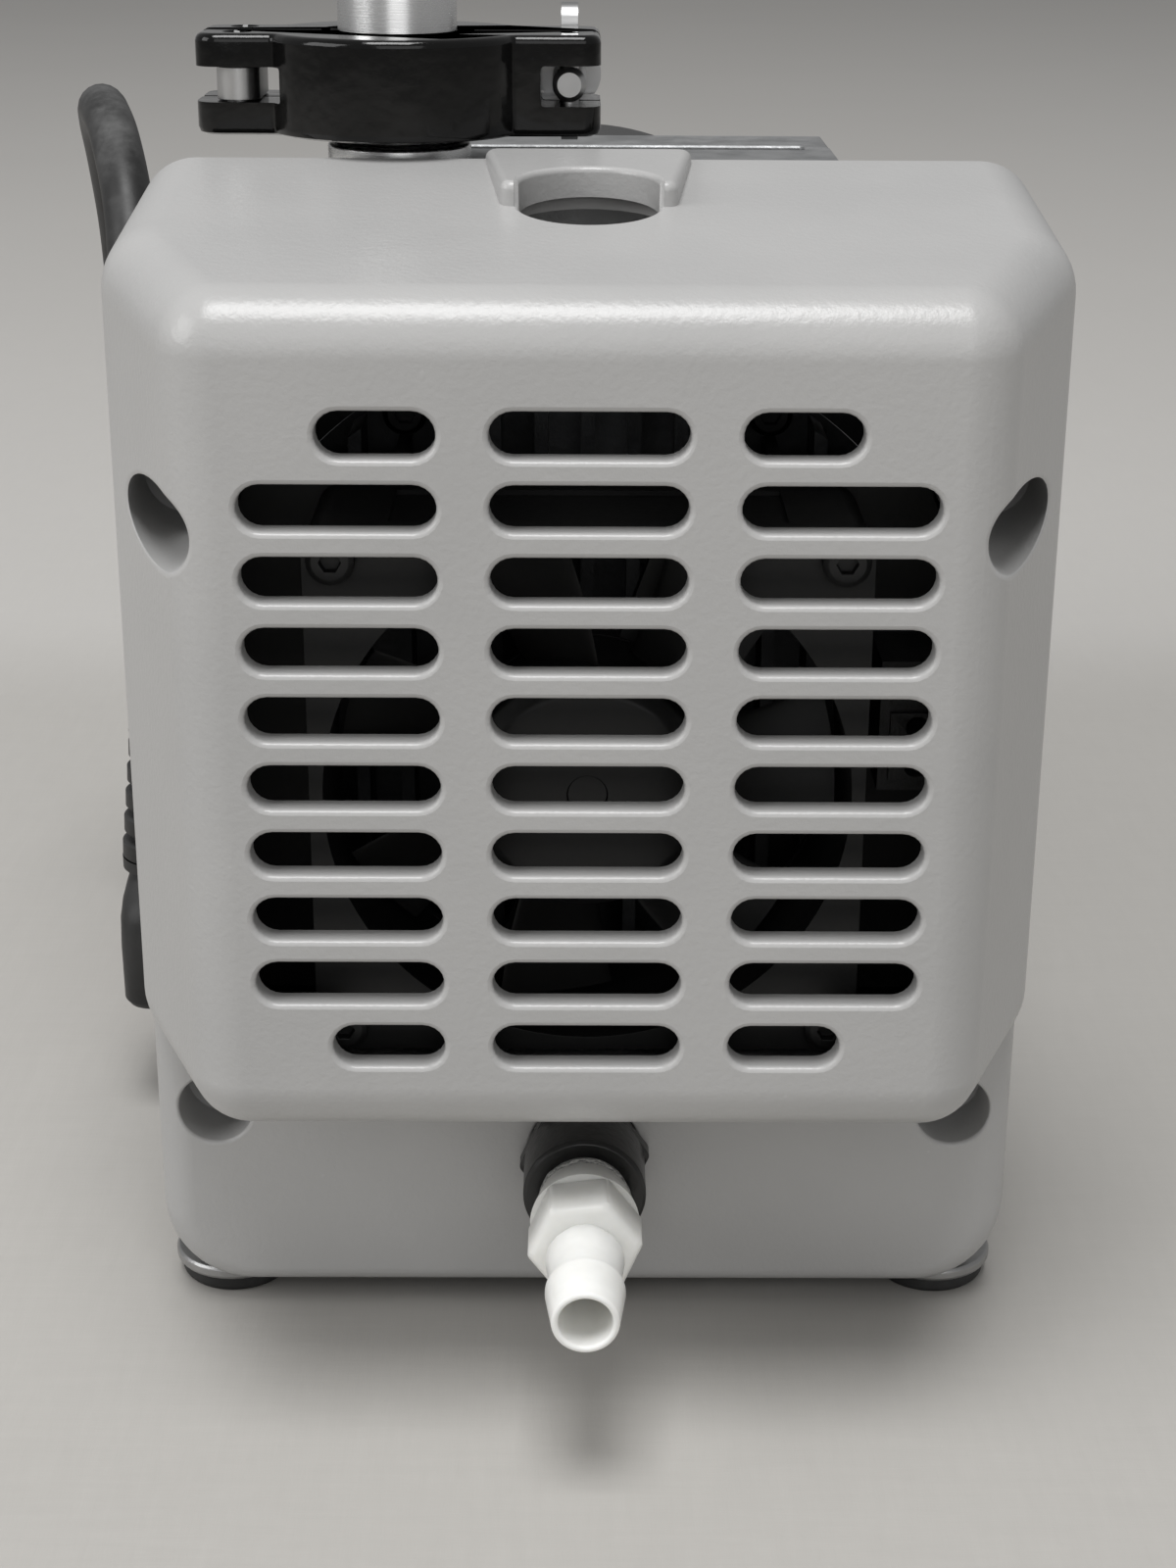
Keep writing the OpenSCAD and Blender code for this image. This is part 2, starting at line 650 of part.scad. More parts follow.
module inlet_port() {
    color([0.72, 0.72, 0.74]) placed() translate([inlet_x, inlet_d, 0]) difference() {
        union() {
            translate([0, 0, top_height]) cylinder(h = 4, r = 11.6);
            translate([0, 0, top_height - 12]) cylinder(h = 24, r = 9.9);
            translate([0, 0, joint_z - 6.2]) cylinder(h = 3.2, r1 = 10.4, r2 = flange_diameter / 2 - 0.8);
            translate([0, 0, joint_z - 3]) cylinder(h = 2.75, r = flange_diameter / 2);
        }
        translate([0, 0, top_height - 13]) cylinder(h = 40, r = inlet_bore / 2);
        translate([0, 0, joint_z - 2.2]) cylinder(h = 3, r = inlet_bore / 2 + 0.7);
    }
}

module centring_ring() {
    color([0.8, 0.8, 0.82]) placed() translate([inlet_x, inlet_d, joint_z]) difference() {
        union() {
            translate([0, 0, -2]) cylinder(h = 4, r = inlet_bore / 2 + 0.62);
            translate([0, 0, -0.22]) cylinder(h = 0.44, r = 11);
        }
        translate([0, 0, -3]) cylinder(h = 6, r = inlet_bore / 2);
    }
}

module o_ring() {
    color([0.07, 0.07, 0.07]) placed() translate([inlet_x, inlet_d, joint_z])
        intersection() {
            rotate_extrude() translate([12.6, 0]) circle(1.5, $fn = 24);
            translate([0, 0, -0.23]) cylinder(h = 0.46, r = 16);
        }
}

module inlet_tube() {
    color([0.82, 0.82, 0.84]) placed() translate([inlet_x, inlet_d, joint_z]) difference() {
        union() {
            translate([0, 0, 0.25]) cylinder(h = 2.75, r = flange_diameter / 2);
            translate([0, 0, 3]) cylinder(h = 3.2, r1 = flange_diameter / 2 - 0.8, r2 = 10.4);
            translate([0, 0, 1]) cylinder(h = 21, r = 9.5);
        }
        translate([0, 0, -1]) cylinder(h = 30, r = inlet_bore / 2);
        translate([0, 0, -1]) cylinder(h = 3.2, r = inlet_bore / 2 + 0.7);
    }
}

// CLAMP
// Plan outline of the whole clamp before it is parted and slotted
module clamp_plan() {
    translate([inlet_x, inlet_d]) circle(21.5);
    translate([0, inlet_d]) {
        round_flat(lug_x0, inlet_x, -10, 10, 4);
        round_flat(inlet_x, lug_x1, -10.5, 10.5, 3);
    }
}

module clamp_solid() {
    difference() {
        translate([0, 0, joint_z - clamp_h / 2]) linear_extrude(clamp_h) clamp_plan();
        translate([inlet_x, inlet_d, joint_z - 9]) cylinder(h = 18, r = 11.9);
        translate([inlet_x, inlet_d, joint_z - 3.15]) cylinder(h = 6.3, r = flange_diameter / 2 + 0.3);
        for (s = [-1, 1])
            translate([inlet_x, inlet_d, joint_z]) rotate([90 - 90 * s, 0, 0]) translate([0, 0, 3.1])
                cylinder(h = 3.4, r1 = flange_diameter / 2 + 0.3, r2 = 11.5);
        block(lug_x0 - 1, link_x + 8, inlet_d - 12, inlet_d + 12, joint_z - 2.7, joint_z + 2.7);
        block(bolt_x - 4.5, lug_x1 + 1, inlet_d - 12, inlet_d + 12, joint_z - 3.1, joint_z + 3.1);
        for (d = link_d)
            translate([link_x, d, joint_z - 9]) cylinder(h = 18, r = 2.02, $fn = 32);
        translate([bolt_x, bolt_pin_d, joint_z - 9]) cylinder(h = 18, r = 1.52, $fn = 32);
    }
}

module clamp_front() {
    color([0.05, 0.05, 0.055]) placed() intersection() {
        clamp_solid();
        block(-80, 20, inlet_d - 30, inlet_d - 0.6, joint_z - 20, joint_z + 20);
    }
}

module clamp_rear() {
    color([0.05, 0.05, 0.055]) placed() intersection() {
        clamp_solid();
        block(-80, 20, inlet_d + 0.6, inlet_d + 40, joint_z - 20, joint_z + 20);
    }
}

module clamp_links() {
    color([0.78, 0.78, 0.8]) placed() difference() {
        translate([0, 0, joint_z - 2.5]) linear_extrude(5) {
            translate([link_x - 3.4, link_d[0]]) square([6.8, link_d[1] - link_d[0]]);
            for (d = link_d)
                translate([link_x, d]) circle(3.4);
        }
        for (d = link_d)
            translate([link_x, d, joint_z - 9]) cylinder(h = 18, r = 2.02, $fn = 32);
    }
}

module link_pins() {
    color([0.75, 0.75, 0.77]) placed() for (d = link_d)
        translate([link_x, d, joint_z - clamp_h / 2 + 0.3]) cylinder(h = clamp_h - 0.6, r = 2, $fn = 32);
}

module clamp_bolt() {
    color([0.8, 0.8, 0.82]) placed() union() {
        difference() {
            translate([bolt_x, bolt_pin_d, joint_z - 2.8]) cylinder(h = 5.6, r = 3.4);
            translate([bolt_x, bolt_pin_d, joint_z - 4]) cylinder(h = 8, r = 1.56, $fn = 32);
        }
        difference() {
            bar(bolt_x, joint_z, bolt_pin_d + 2, inlet_d + 24, 2.4);
            translate([bolt_x, bolt_pin_d, joint_z - 4]) cylinder(h = 8, r = 2.5, $fn = 32);
        }
        translate([bolt_x, bolt_pin_d, joint_z - clamp_h / 2 + 0.3]) cylinder(h = clamp_h - 0.6, r = 1.5, $fn = 32);
    }
}

module wing_nut() {
    color([0.78, 0.78, 0.8]) placed() difference() {
        union() {
            cone_bar(bolt_x, joint_z, inlet_d + 11, inlet_d + 18, 5.2, 4);
            for (s = [-1, 1])
                translate([bolt_x - 1.4, inlet_d + 12, joint_z]) rotate([0, 90, 0]) linear_extrude(2.8)
                    translate([s * 7.5, 3.6]) circle(3.6, $fn = 32);
            block(bolt_x - 1.4, bolt_x + 1.4, inlet_d + 13, inlet_d + 17, joint_z - 7.5, joint_z + 7.5);
        }
        bar(bolt_x, joint_z, inlet_d + 10, inlet_d + 20, 2.45);
    }
}

// EXHAUST
module exhaust_elbow() {
    color([0.07, 0.07, 0.075]) placed() difference() {
        union() {
            bar(0, exhaust_z, 22, 32.6, 9.75);
            hex_bar(0, exhaust_z, 32.5, lower_set - 0.3, 18.6, 6);
            bar(0, exhaust_z, lower_set - 0.5, elbow_d, 8);
            translate([0, elbow_d, exhaust_z]) sphere(8);
            translate([0, elbow_d, exhaust_z]) cylinder(h = 8, r = 8);
            translate([0, elbow_d, exhaust_z]) cylinder(h = shaft_height - scroll_r - 2 - exhaust_z + 10, r = 5.97);
        }
        bar(0, exhaust_z, 21, 36, 6.5);
        bar(0, exhaust_z, 21, elbow_d, 4.5);
        translate([0, elbow_d, exhaust_z]) sphere(4.5);
        translate([0, elbow_d, exhaust_z]) cylinder(h = 40, r = 4.5);
    }
}

module thread_seal() {
    color([0.85, 0.85, 0.83]) placed() difference() {
        bar(0, exhaust_z, 20.2, 24, 6.95 - 0.5);
        bar(0, exhaust_z, 19, 25, 6.1);
    }
}

module hose_barb() {
    color([0.92, 0.92, 0.9]) placed() difference() {
        union() {
            bar(0, exhaust_z, 14, 33, 6.07);
            cone_bar(0, exhaust_z, 14, 20, 8.5, 7.2);
            hex_bar(0, exhaust_z, 5, 14.2, 17.3, 7);
            bar(0, exhaust_z, -14.5, 6, barb_diameter / 2 - 1);
            for (d = [-14.5, -5.5])
                cone_bar(0, exhaust_z, d, d + 8, barb_diameter / 2 - 0.9, barb_diameter / 2);
        }
        bar(0, exhaust_z, -16, 34, 4);
    }
}

// BASE
module base_plate() {
    color([0.55, 0.56, 0.58]) placed() difference() {
        translate([0, 0, plate_z]) linear_extrude(plate_t) round_flat(-foot_x - 3.5, foot_x + 3.5, 46, cover_rear - 6, 10);
        for (x = [-foot_x, foot_x], d = foot_d)
            translate([x, d, 0]) cylinder(h = 20, r = 2.3, $fn = 24);
        for (x = [-bench_x, bench_x], d = bench_d)
            translate([x, d, 0]) cylinder(h = 20, r = 3.3, $fn = 32);
        for (x = [-40, 40])
            translate([x, frame_d + 10, 0]) cylinder(h = 20, r = 2.4, $fn = 24);
    }
}

module foot_cups() {
    color([0.8, 0.8, 0.8]) placed() for (x = [-foot_x, foot_x], d = foot_d)
        translate([x, d, 2.8]) difference() {
            cylinder(h = plate_z - 2.8, r = 9.5);
            translate([0, 0, -1]) cylinder(h = 5, r = 2.3, $fn = 24);
        }
}

module foot_pads() {
    color([0.06, 0.06, 0.06]) placed() for (x = [-foot_x, foot_x], d = foot_d)
        translate([x, d, 0]) difference() {
            union() {
                cylinder(h = 0.6, r1 = 8.6, r2 = 9.2);
                translate([0, 0, 0.6]) cylinder(h = 2.2, r = 9.2);
            }
            translate([0, 0, -1]) cylinder(h = 2.9, r = 4.6);
            translate([0, 0, -1]) cylinder(h = 5, r = 2.3, $fn = 24);
        }
}

module foot_screws() {
    color([0.7, 0.7, 0.72]) placed() for (x = [-foot_x, foot_x], d = foot_d)
        translate([x, d, 0]) union() {
            translate([0, 0, 0.5]) cylinder(h = 1.4, r = 4.2);
            cylinder(h = 8.6, r = 2.25, $fn = 24);
            translate([0, 0, plate_z + plate_t]) cylinder(h = 0.9, r = 3.6, $fn = 6);
        }
}

// MOTOR
module motor_housing() {
    color([0.32, 0.33, 0.35]) placed() difference() {
        union() {
            bar(0, shaft_height, bell_rear, motor_rear, motor_diameter / 2 - 6);
            for (a = [-75:15:255])
                translate([0, 0, shaft_height]) rotate([0, -a, 0])
                    block(40, motor_diameter / 2, bell_rear + 6, motor_rear - 6, -1.25, 1.25);
            for (d = [bell_rear, motor_rear - 8])
                bar(0, shaft_height, d, d + 8, motor_diameter / 2 - 3);
            block(-38, 38, bell_rear + 12, motor_rear - 12, plate_z + plate_t, shaft_height - 45);
        }
        bar(0, shaft_height, bell_rear - 1, motor_rear + 1, 48);
        block(-28, 28, bell_rear + 20, motor_rear - 20, -1, 40);
    }
}

module stator_core() {
    color([0.45, 0.42, 0.4]) placed() difference() {
        bar(0, shaft_height, core_front, core_rear, 48);
        bar(0, shaft_height, core_front - 1, core_rear + 1, 30);
        for (a = [0:15:345])
            translate([0, 0, shaft_height]) rotate([0, a, 0]) block(31.5, 41, core_front - 1, core_rear + 1, -2, 2);
    }
}

module stator_windings() {
    color([0.62, 0.32, 0.14]) placed() for (d = [core_front - 15, core_rear])
        difference() {
            bar(0, shaft_height, d, d + 15, 43);
            bar(0, shaft_height, d - 1, d + 16, 31.5);
        }
}

module motor_rotor() {
    color([0.5, 0.5, 0.52]) placed() difference() {
        union() {
            bar(0, shaft_height, core_front, core_rear, 29.5);
            for (d = [core_front - 4, core_rear])
                bar(0, shaft_height, d, d + 4, 26);
        }
        bar(0, shaft_height, core_front - 5, core_rear + 5, shaft_r);
    }
}

module end_bell() {
    color([0.5, 0.51, 0.53]) placed() difference() {
        union() {
            bar(0, shaft_height, motor_rear, motor_rear + 4, motor_diameter / 2 - 3);
            bar(0, shaft_height, motor_rear, endbell_rear, 20);
            for (a = [45:90:315])
                bar(48 * cos(a), shaft_height + 48 * sin(a), motor_rear, endbell_rear + 12, 5);
        }
        bar(0, shaft_height, motor_rear - 1, endbell_rear + 1, 9);
        bar(0, shaft_height, motor_rear + 2.4, endbell_rear + 1, 14);
        for (a = [45:90:315])
            bar(48 * cos(a), shaft_height + 48 * sin(a), endbell_rear, endbell_rear + 13, 1.8, $fn = 24);
    }
}

module rear_fan() {
    color([0.12, 0.12, 0.13]) placed() difference() {
        union() {
            bar(0, shaft_height, endbell_rear + 3, endbell_rear + 24, 13);
            bar(0, shaft_height, endbell_rear + 3, endbell_rear + 5, 37);
            for (a = [0:40:320])
                translate([0, 0, shaft_height]) rotate([0, a, 0])
                    block(12, 38, endbell_rear + 4, endbell_rear + 22, -1, 1);
        }
        bar(0, shaft_height, endbell_rear, endbell_rear + 30, stub_r);
    }
}

module rear_cover() {
    color([0.1, 0.1, 0.11]) placed() difference() {
        union() {
            cone_bar(0, shaft_height, cover_rear - 4, cover_rear, motor_diameter / 2, motor_diameter / 2 - 4);
            bar(0, shaft_height, motor_rear + 5, cover_rear - 4, motor_diameter / 2);
        }
        bar(0, shaft_height, motor_rear + 4, cover_rear - 4, motor_diameter / 2 - 2);
        cone_bar(0, shaft_height, cover_rear - 4.01, cover_rear - 3, motor_diameter / 2 - 2, motor_diameter / 2 - 3);
        for (i = [-4:4])
            stadium(0, shaft_height + i * 8, 2 * sqrt(1500 - 61 * i * i), 4, cover_rear - 6, cover_rear + 1);
        for (a = [45:90:315])
            bar(48 * cos(a), shaft_height + 48 * sin(a), cover_rear - 6, cover_rear + 1, 2.2, $fn = 24);
        for (a = [45:90:315])
            bar(48 * cos(a), shaft_height + 48 * sin(a), cover_rear - 1.7, cover_rear + 1, 3.6, $fn = 32);
    }
}

module cover_rear_screws() {
    color([0.7, 0.7, 0.72]) placed() for (a = [45:90:315])
        translate([48 * cos(a), 0, shaft_height + 48 * sin(a)]) difference() {
            union() {
                bar(0, 0, endbell_rear + 5, cover_rear - 1, 1.75, $fn = 24);
                bar(0, 0, endbell_rear + 12.1, cover_rear - 3.05, 3.4, $fn = 32);
                bar(0, 0, cover_rear - 1.65, cover_rear - 0.1, 3.4, $fn = 32);
            }
            hex_bar(0, 0, cover_rear - 1, cover_rear + 1, 2.4);
        }
}

// CONTROL BOX
module control_box() {
    color([0.3, 0.31, 0.33]) placed() difference() {
        round_block(box_x0 + 1.6, box_x1, plate_z + plate_t, box_top, box_d0, box_d1, 1.5);
        block(box_x0, box_x1 - 1.5, box_d0 + 1.5, box_d1 - 1.5, plate_z + plate_t + 1.5, box_top - 1.5);
    }
}

module box_panel() {
    color([0.3, 0.31, 0.33]) placed() difference() {
        block(box_x0, box_x0 + 1.5, box_d0, box_d1, plate_z + plate_t, box_top);
        block(box_x0 - 1, box_x0 + 2, inlet_c13[0] - 14, inlet_c13[0] + 14, inlet_c13[1] - 10.5, inlet_c13[1] + 10.5);
        block(box_x0 - 1, box_x0 + 2, switch_c[0] - 13.6, switch_c[0] + 13.6, switch_c[1] - 9.6, switch_c[1] + 9.6);
    }
}

module power_inlet() {
    color([0.08, 0.08, 0.085]) placed() union() {
        difference() {
            union() {
                block(box_x0 - 2, box_x0, inlet_c13[0] - 20, inlet_c13[0] + 20, inlet_c13[1] - 12.5, inlet_c13[1] + 12.5);
                block(box_x0 - 0.1, box_x0 + 17, inlet_c13[0] - 13.8, inlet_c13[0] + 13.8, inlet_c13[1] - 10.3, inlet_c13[1] + 10.3);
            }
            block(box_x0 - 3, box_x0 + 15, inlet_c13[0] - 12.3, inlet_c13[0] + 12.3, inlet_c13[1] - 8.5, inlet_c13[1] + 8.5);
        }
        for (i = [-1, 0, 1])
            block(box_x0 + 2, box_x0 + 15.5, inlet_c13[0] + i * 7 - 2, inlet_c13[0] + i * 7 + 2,
                inlet_c13[1] + (i == 0 ? 2 : -2) - 1, inlet_c13[1] + (i == 0 ? 2 : -2) + 1);
    }
}

module switch_frame() {
    color([0.08, 0.08, 0.085]) placed() difference() {
        union() {
            block(box_x0 - 1.6, box_x0, switch_c[0] - 15, switch_c[0] + 15, switch_c[1] - 11, switch_c[1] + 11);
            block(box_x0 - 0.1, box_x0 + 15, switch_c[0] - 13.4, switch_c[0] + 13.4, switch_c[1] - 9.4, switch_c[1] + 9.4);
        }
        block(box_x0 - 3, box_x0 + 10, switch_c[0] - 12, switch_c[0] + 12, switch_c[1] - 8, switch_c[1] + 8);
        translate([box_x0 + 2, switch_c[0], switch_c[1] - 9]) cylinder(h = 18, r = 1.05, $fn = 24);
    }
}

module rocker_switch() {
    color([0.55, 0.06, 0.05]) placed() union() {
        difference() {
            translate([box_x0 + 2, switch_c[0], switch_c[1] - 7.8]) rotate([0, 0, 8])
                linear_extrude(15.6) polygon([[-5.2, -11], [-3.2, 0], [-5.2, 11], [2.6, 10], [2.6, -10]]);
            block(box_x0 + 4.8, box_x0 + 9, switch_c[0] - 14, switch_c[0] + 14, 0, 60);
        }
        translate([box_x0 + 2, switch_c[0], switch_c[1] - 8.8]) cylinder(h = 17.6, r = 1, $fn = 24);
    }
}

// MAINS LEAD
module lead_connector() {
    color([0.07, 0.07, 0.075]) placed() difference() {
        union() {
            intersection() {
                round_block(lead_x - 8, box_x0 - 2, 21, 42.6, lead_d - 14, lead_d + 14, 4);
                linear_extrude(50) round_flat(lead_x - 8, box_x0 - 2, lead_d - 14, lead_d + 14, 5);
            }
            translate([lead_x, lead_d, 36]) cylinder(h = 10, r = 6.6);
            block(box_x0 - 5, box_x0 + 14.6, inlet_c13[0] - 12.1, inlet_c13[0] + 12.1, inlet_c13[1] - 8.3, inlet_c13[1] + 8.3);
        }
        for (i = [-1, 0, 1])
            block(box_x0 - 1, box_x0 + 16, inlet_c13[0] + i * 7 - 2.2, inlet_c13[0] + i * 7 + 2.2,
                inlet_c13[1] + (i == 0 ? 2 : -2) - 1.2, inlet_c13[1] + (i == 0 ? 2 : -2) + 1.2);
        translate([lead_x, lead_d, 40]) cylinder(h = 10, r = cord_r);
    }
}

module strain_relief() {
    color([0.07, 0.07, 0.075]) placed() difference() {
        union() {
            translate([lead_x, lead_d, 46]) cylinder(h = 2.4, r = 8);
            for (i = [0:4])
                translate([lead_x, lead_d, 48.3 + i * 5]) cylinder(h = 3.2, r1 = 7.9 - i * 0.55, r2 = 7.6 - i * 0.55);
            translate([lead_x, lead_d, 46]) cylinder(h = relief_z - 46, r1 = 6.6, r2 = cord_r + 0.8);
        }
        translate([lead_x, lead_d, 45]) cylinder(h = relief_z, r = cord_r);
    }
}

// A smooth curve through the points: four part weights of a cubic
function spline(p, i, t) = let(n = len(p) - 1, a = p[max(i - 1, 0)], b = p[i], c = p[min(i + 1, n)], e = p[min(i + 2, n)])
    0.5 * (2 * b + (c - a) * t + (2 * a - 5 * b + 4 * c - e) * t * t + (3 * b - a - 3 * c + e) * t * t * t);

function path_points(p, per) = concat([for (i = [0:len(p) - 2], k = [0:per - 1]) spline(p, i, k / per)], [p[len(p) - 1]]);

function unit(v) = v / norm(v);

function tangent(p, i) = unit(p[min(i + 1, len(p) - 1)] - p[max(i - 1, 0)]);

// Side directions carried along the path without twist
function carried(p, i, u) = i == 0 ? [u] : let(prev = carried(p, i - 1, u), t = tangent(p, i), v = prev[len(prev) - 1])
    concat(prev, [unit(v - (v * t) * t)]);

function tube_points(p, u, r, n) = let(s = carried(p, len(p) - 1, u))
    [for (i = [0:len(p) - 1], k = [0:n - 1]) let(w = cross(tangent(p, i), s[i]), a = 360 * k / n)
        p[i] + r * (cos(a) * s[i] + sin(a) * w)];

function tube_faces(m, n) = concat([[for (k = [0:n - 1]) k]],
    [for (i = [0:m - 2], k = [0:n - 1]) each [
        [i * n + k, (i + 1) * n + k, (i + 1) * n + (k + 1) % n],
        [i * n + k, (i + 1) * n + (k + 1) % n, i * n + (k + 1) % n]]],
    [[for (k = [n - 1:-1:0]) (m - 1) * n + k]]);

module tube(p, u, r, n) {
    polyhedron(points = tube_points(p, u, r, n), faces = tube_faces(len(p), n), convexity = 6);
}

// The coil winds inward on the lower layer, climbs, and winds outward on the upper one
function coil_u(i) = i / coil_steps;
function coil_radius(i) = coil_out - coil_pitch * layer_turns * (1 - abs(1 - 2 * coil_u(i)));
function ease(t) = t <= 0 ? 0 : t >= 1 ? 1 : t * t * (3 - 2 * t);
function coil_height(i) = coil_z + coil_rise * ease(((i - coil_steps / 2) * ring_step + 90) / 180);
module lead_run() {
    color([0.08, 0.08, 0.085]) placed() union() {
        tube(run_path, [1, 0, 0], cord_r, 10);
        tube(tail_path, [0, 0, 1], cord_r, 10);
    }
}

module lead_coil() {
    color([0.08, 0.08, 0.085]) placed() tube(coil_path, [0, 0, 1], cord_r, 6);
}

module lead_tie() {
    color([0.1, 0.1, 0.1]) placed() translate([coil_c[0], coil_c[1], 0]) rotate([0, 0, 40]) difference() {
        block(coil_mid - tie_half - 1.2, coil_mid + tie_half + 1.2, -5, 5, 0, coil_z + coil_rise + cord_r + 1.5);
        block(coil_mid - tie_half, coil_mid + tie_half, -6, 6, -1, coil_z + coil_rise + cord_r + 0.3);
    }
}

// The plug lies with its cord end on the tail and its blades to the rear
module at_plug() {
    placed() translate([plug_at[0], plug_at[1], 0]) rotate([0, 0, plug_turn]) translate([0, -12, 0]) children();
}

module mains_plug() {
    color([0.07, 0.07, 0.075]) at_plug() difference() {
        union() {
            round_block(-12, 12, 0, 24, 39, 59, 5);
            cone_bar(0, 12, 23, 39.5, 6.8, 10);
            cone_bar(0, 12, 0, 24, cord_r + 1.4, 6.8);
        }
        bar(0, 12, -1, 14, cord_r + 0.3);
    }
}

module plug_blades() {
    color([0.8, 0.75, 0.55]) at_plug() union() {
        for (s = [-1, 1])
            block(s * 6.35 - 0.75, s * 6.35 + 0.75, 59, 77, 11, 17.4);
        bar(0, 5.5, 59, 80, 2.4, $fn = 32);
    }
}

front_cover();
cover_screws();
fan_bracket();
fan_frame();
fan_rotor();
fan_screws();
terminal_block();
front_frame();
fixed_scroll();
scroll_screws();
fixed_tip_seal();
orbiting_scroll();
orbit_tip_seal();
orbit_bearing();
crankshaft();
counterweight();
front_bearing();
rear_bearing();
crank_a();
crank_b();
crank_c();
pump_housing();
inlet_port();
centring_ring();
o_ring();
clamp_front();
clamp_rear();
clamp_links();
link_pins();
clamp_bolt();
wing_nut();
inlet_tube();
exhaust_elbow();
thread_seal();
hose_barb();
base_plate();
foot_cups();
foot_pads();
foot_screws();
bell_housing();
motor_housing();
stator_core();
stator_windings();
motor_rotor();
end_bell();
rear_fan();
rear_cover();
cover_rear_screws();
control_box();
box_panel();
power_inlet();
switch_frame();
rocker_switch();
lead_connector();
strain_relief();
lead_run();
lead_coil();
lead_tie();
mains_plug();
plug_blades();
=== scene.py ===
"""Looks of a small dry scroll vacuum pump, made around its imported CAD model.

Pieces are written in millimetres as X, depth behind the hood's face, and height above the bench.
place() turns them into metres in the shared frame. Formulas stand in words above each function.
"""
import json
import math

import bmesh
import bpy
import numpy as np
from mathutils import Matrix, Vector


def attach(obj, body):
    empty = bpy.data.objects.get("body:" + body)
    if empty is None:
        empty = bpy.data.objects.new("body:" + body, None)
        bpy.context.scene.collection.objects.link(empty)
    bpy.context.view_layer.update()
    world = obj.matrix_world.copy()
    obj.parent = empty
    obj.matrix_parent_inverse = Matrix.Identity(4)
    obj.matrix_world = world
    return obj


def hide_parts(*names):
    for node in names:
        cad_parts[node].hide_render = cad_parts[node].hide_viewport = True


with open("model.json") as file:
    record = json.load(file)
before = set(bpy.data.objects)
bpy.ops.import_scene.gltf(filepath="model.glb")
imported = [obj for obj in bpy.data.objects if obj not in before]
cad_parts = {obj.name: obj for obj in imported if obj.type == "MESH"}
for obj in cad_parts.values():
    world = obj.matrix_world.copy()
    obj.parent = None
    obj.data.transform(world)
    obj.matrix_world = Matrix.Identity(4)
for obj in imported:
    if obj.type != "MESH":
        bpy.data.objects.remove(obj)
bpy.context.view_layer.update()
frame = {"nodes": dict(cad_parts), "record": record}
NODES = frame["nodes"]
TAU = 2 * math.pi
FACE_Y = 14.5 - 179.0    # the hood's face in the shared frame, mm
WELD = 0.002             # points nearer than this are one, mm


def place(points):
    """Millimetres as X, depth, height to metres in the shared frame."""
    p = np.array(points, float).reshape(-1, 3)
    p[:, 1] += FACE_Y
    return p * 0.001


def linked(name, data):
    """A new object in the scene that holds the data."""
    obj = bpy.data.objects.new(name, data)
    bpy.context.scene.collection.objects.link(obj)
    return obj


# CAMERA

def set_camera():
    """The camera solved from the photograph: place, pitch, yaw and roll, with a 36 mm tall sensor."""
    at, sensor, focal_pixels, image_pixels = (-2.25, -332.0, 234.6), 36, 2604, 1600
    pitch, yaw, roll = (math.radians(a) for a in (20.85, 0.39, -0.33))
    forward = np.array([math.sin(yaw) * math.cos(pitch), math.cos(yaw) * math.cos(pitch), -math.sin(pitch)])
    right = np.array([math.cos(yaw), -math.sin(yaw), 0.0])
    down = np.cross(forward, right)
    side = right * math.cos(roll) + down * math.sin(roll)
    up = -(-right * math.sin(roll) + down * math.cos(roll))
    data = bpy.data.cameras.new("camera")
    data.sensor_fit = "VERTICAL"
    data.sensor_height = sensor
    data.lens = focal_pixels / image_pixels * sensor
    data.clip_start = 0.02
    camera = linked("camera", data)
    turn = Matrix([list(r) for r in np.column_stack([side, up, -forward])]).to_4x4()
    camera.matrix_world = Matrix.Translation(Vector(place([at])[0])) @ turn
    bpy.context.scene.camera = camera


set_camera()


# MATERIALS

class Wire:
    """A shader socket; sums and products with numbers or other sockets add Math nodes."""

    def __init__(self, finish, socket):
        self.finish, self.socket = finish, socket

    def least(self, other):
        return self.finish.node("ShaderNodeMath", {"operation": "MINIMUM"}, {0: self, 1: other})

    def step(self, low, high):
        """0 below low, 1 above high, smooth between."""
        return self.finish.node("ShaderNodeMapRange", {"interpolation_type": "SMOOTHSTEP"},
                {"Value": self, "From Min": low, "From Max": high})


def operator(operation, swapped):
    """A method of Wire that adds a Math node."""
    def made(self, other):
        a, b = (other, self) if swapped else (self, other)
        return self.finish.node("ShaderNodeMath", {"operation": operation}, {0: a, 1: b})
    return made


for word, operation in (("add", "ADD"), ("sub", "SUBTRACT"), ("mul", "MULTIPLY")):
    setattr(Wire, "__%s__" % word, operator(operation, False))
    setattr(Wire, "__r%s__" % word, operator(operation, True))


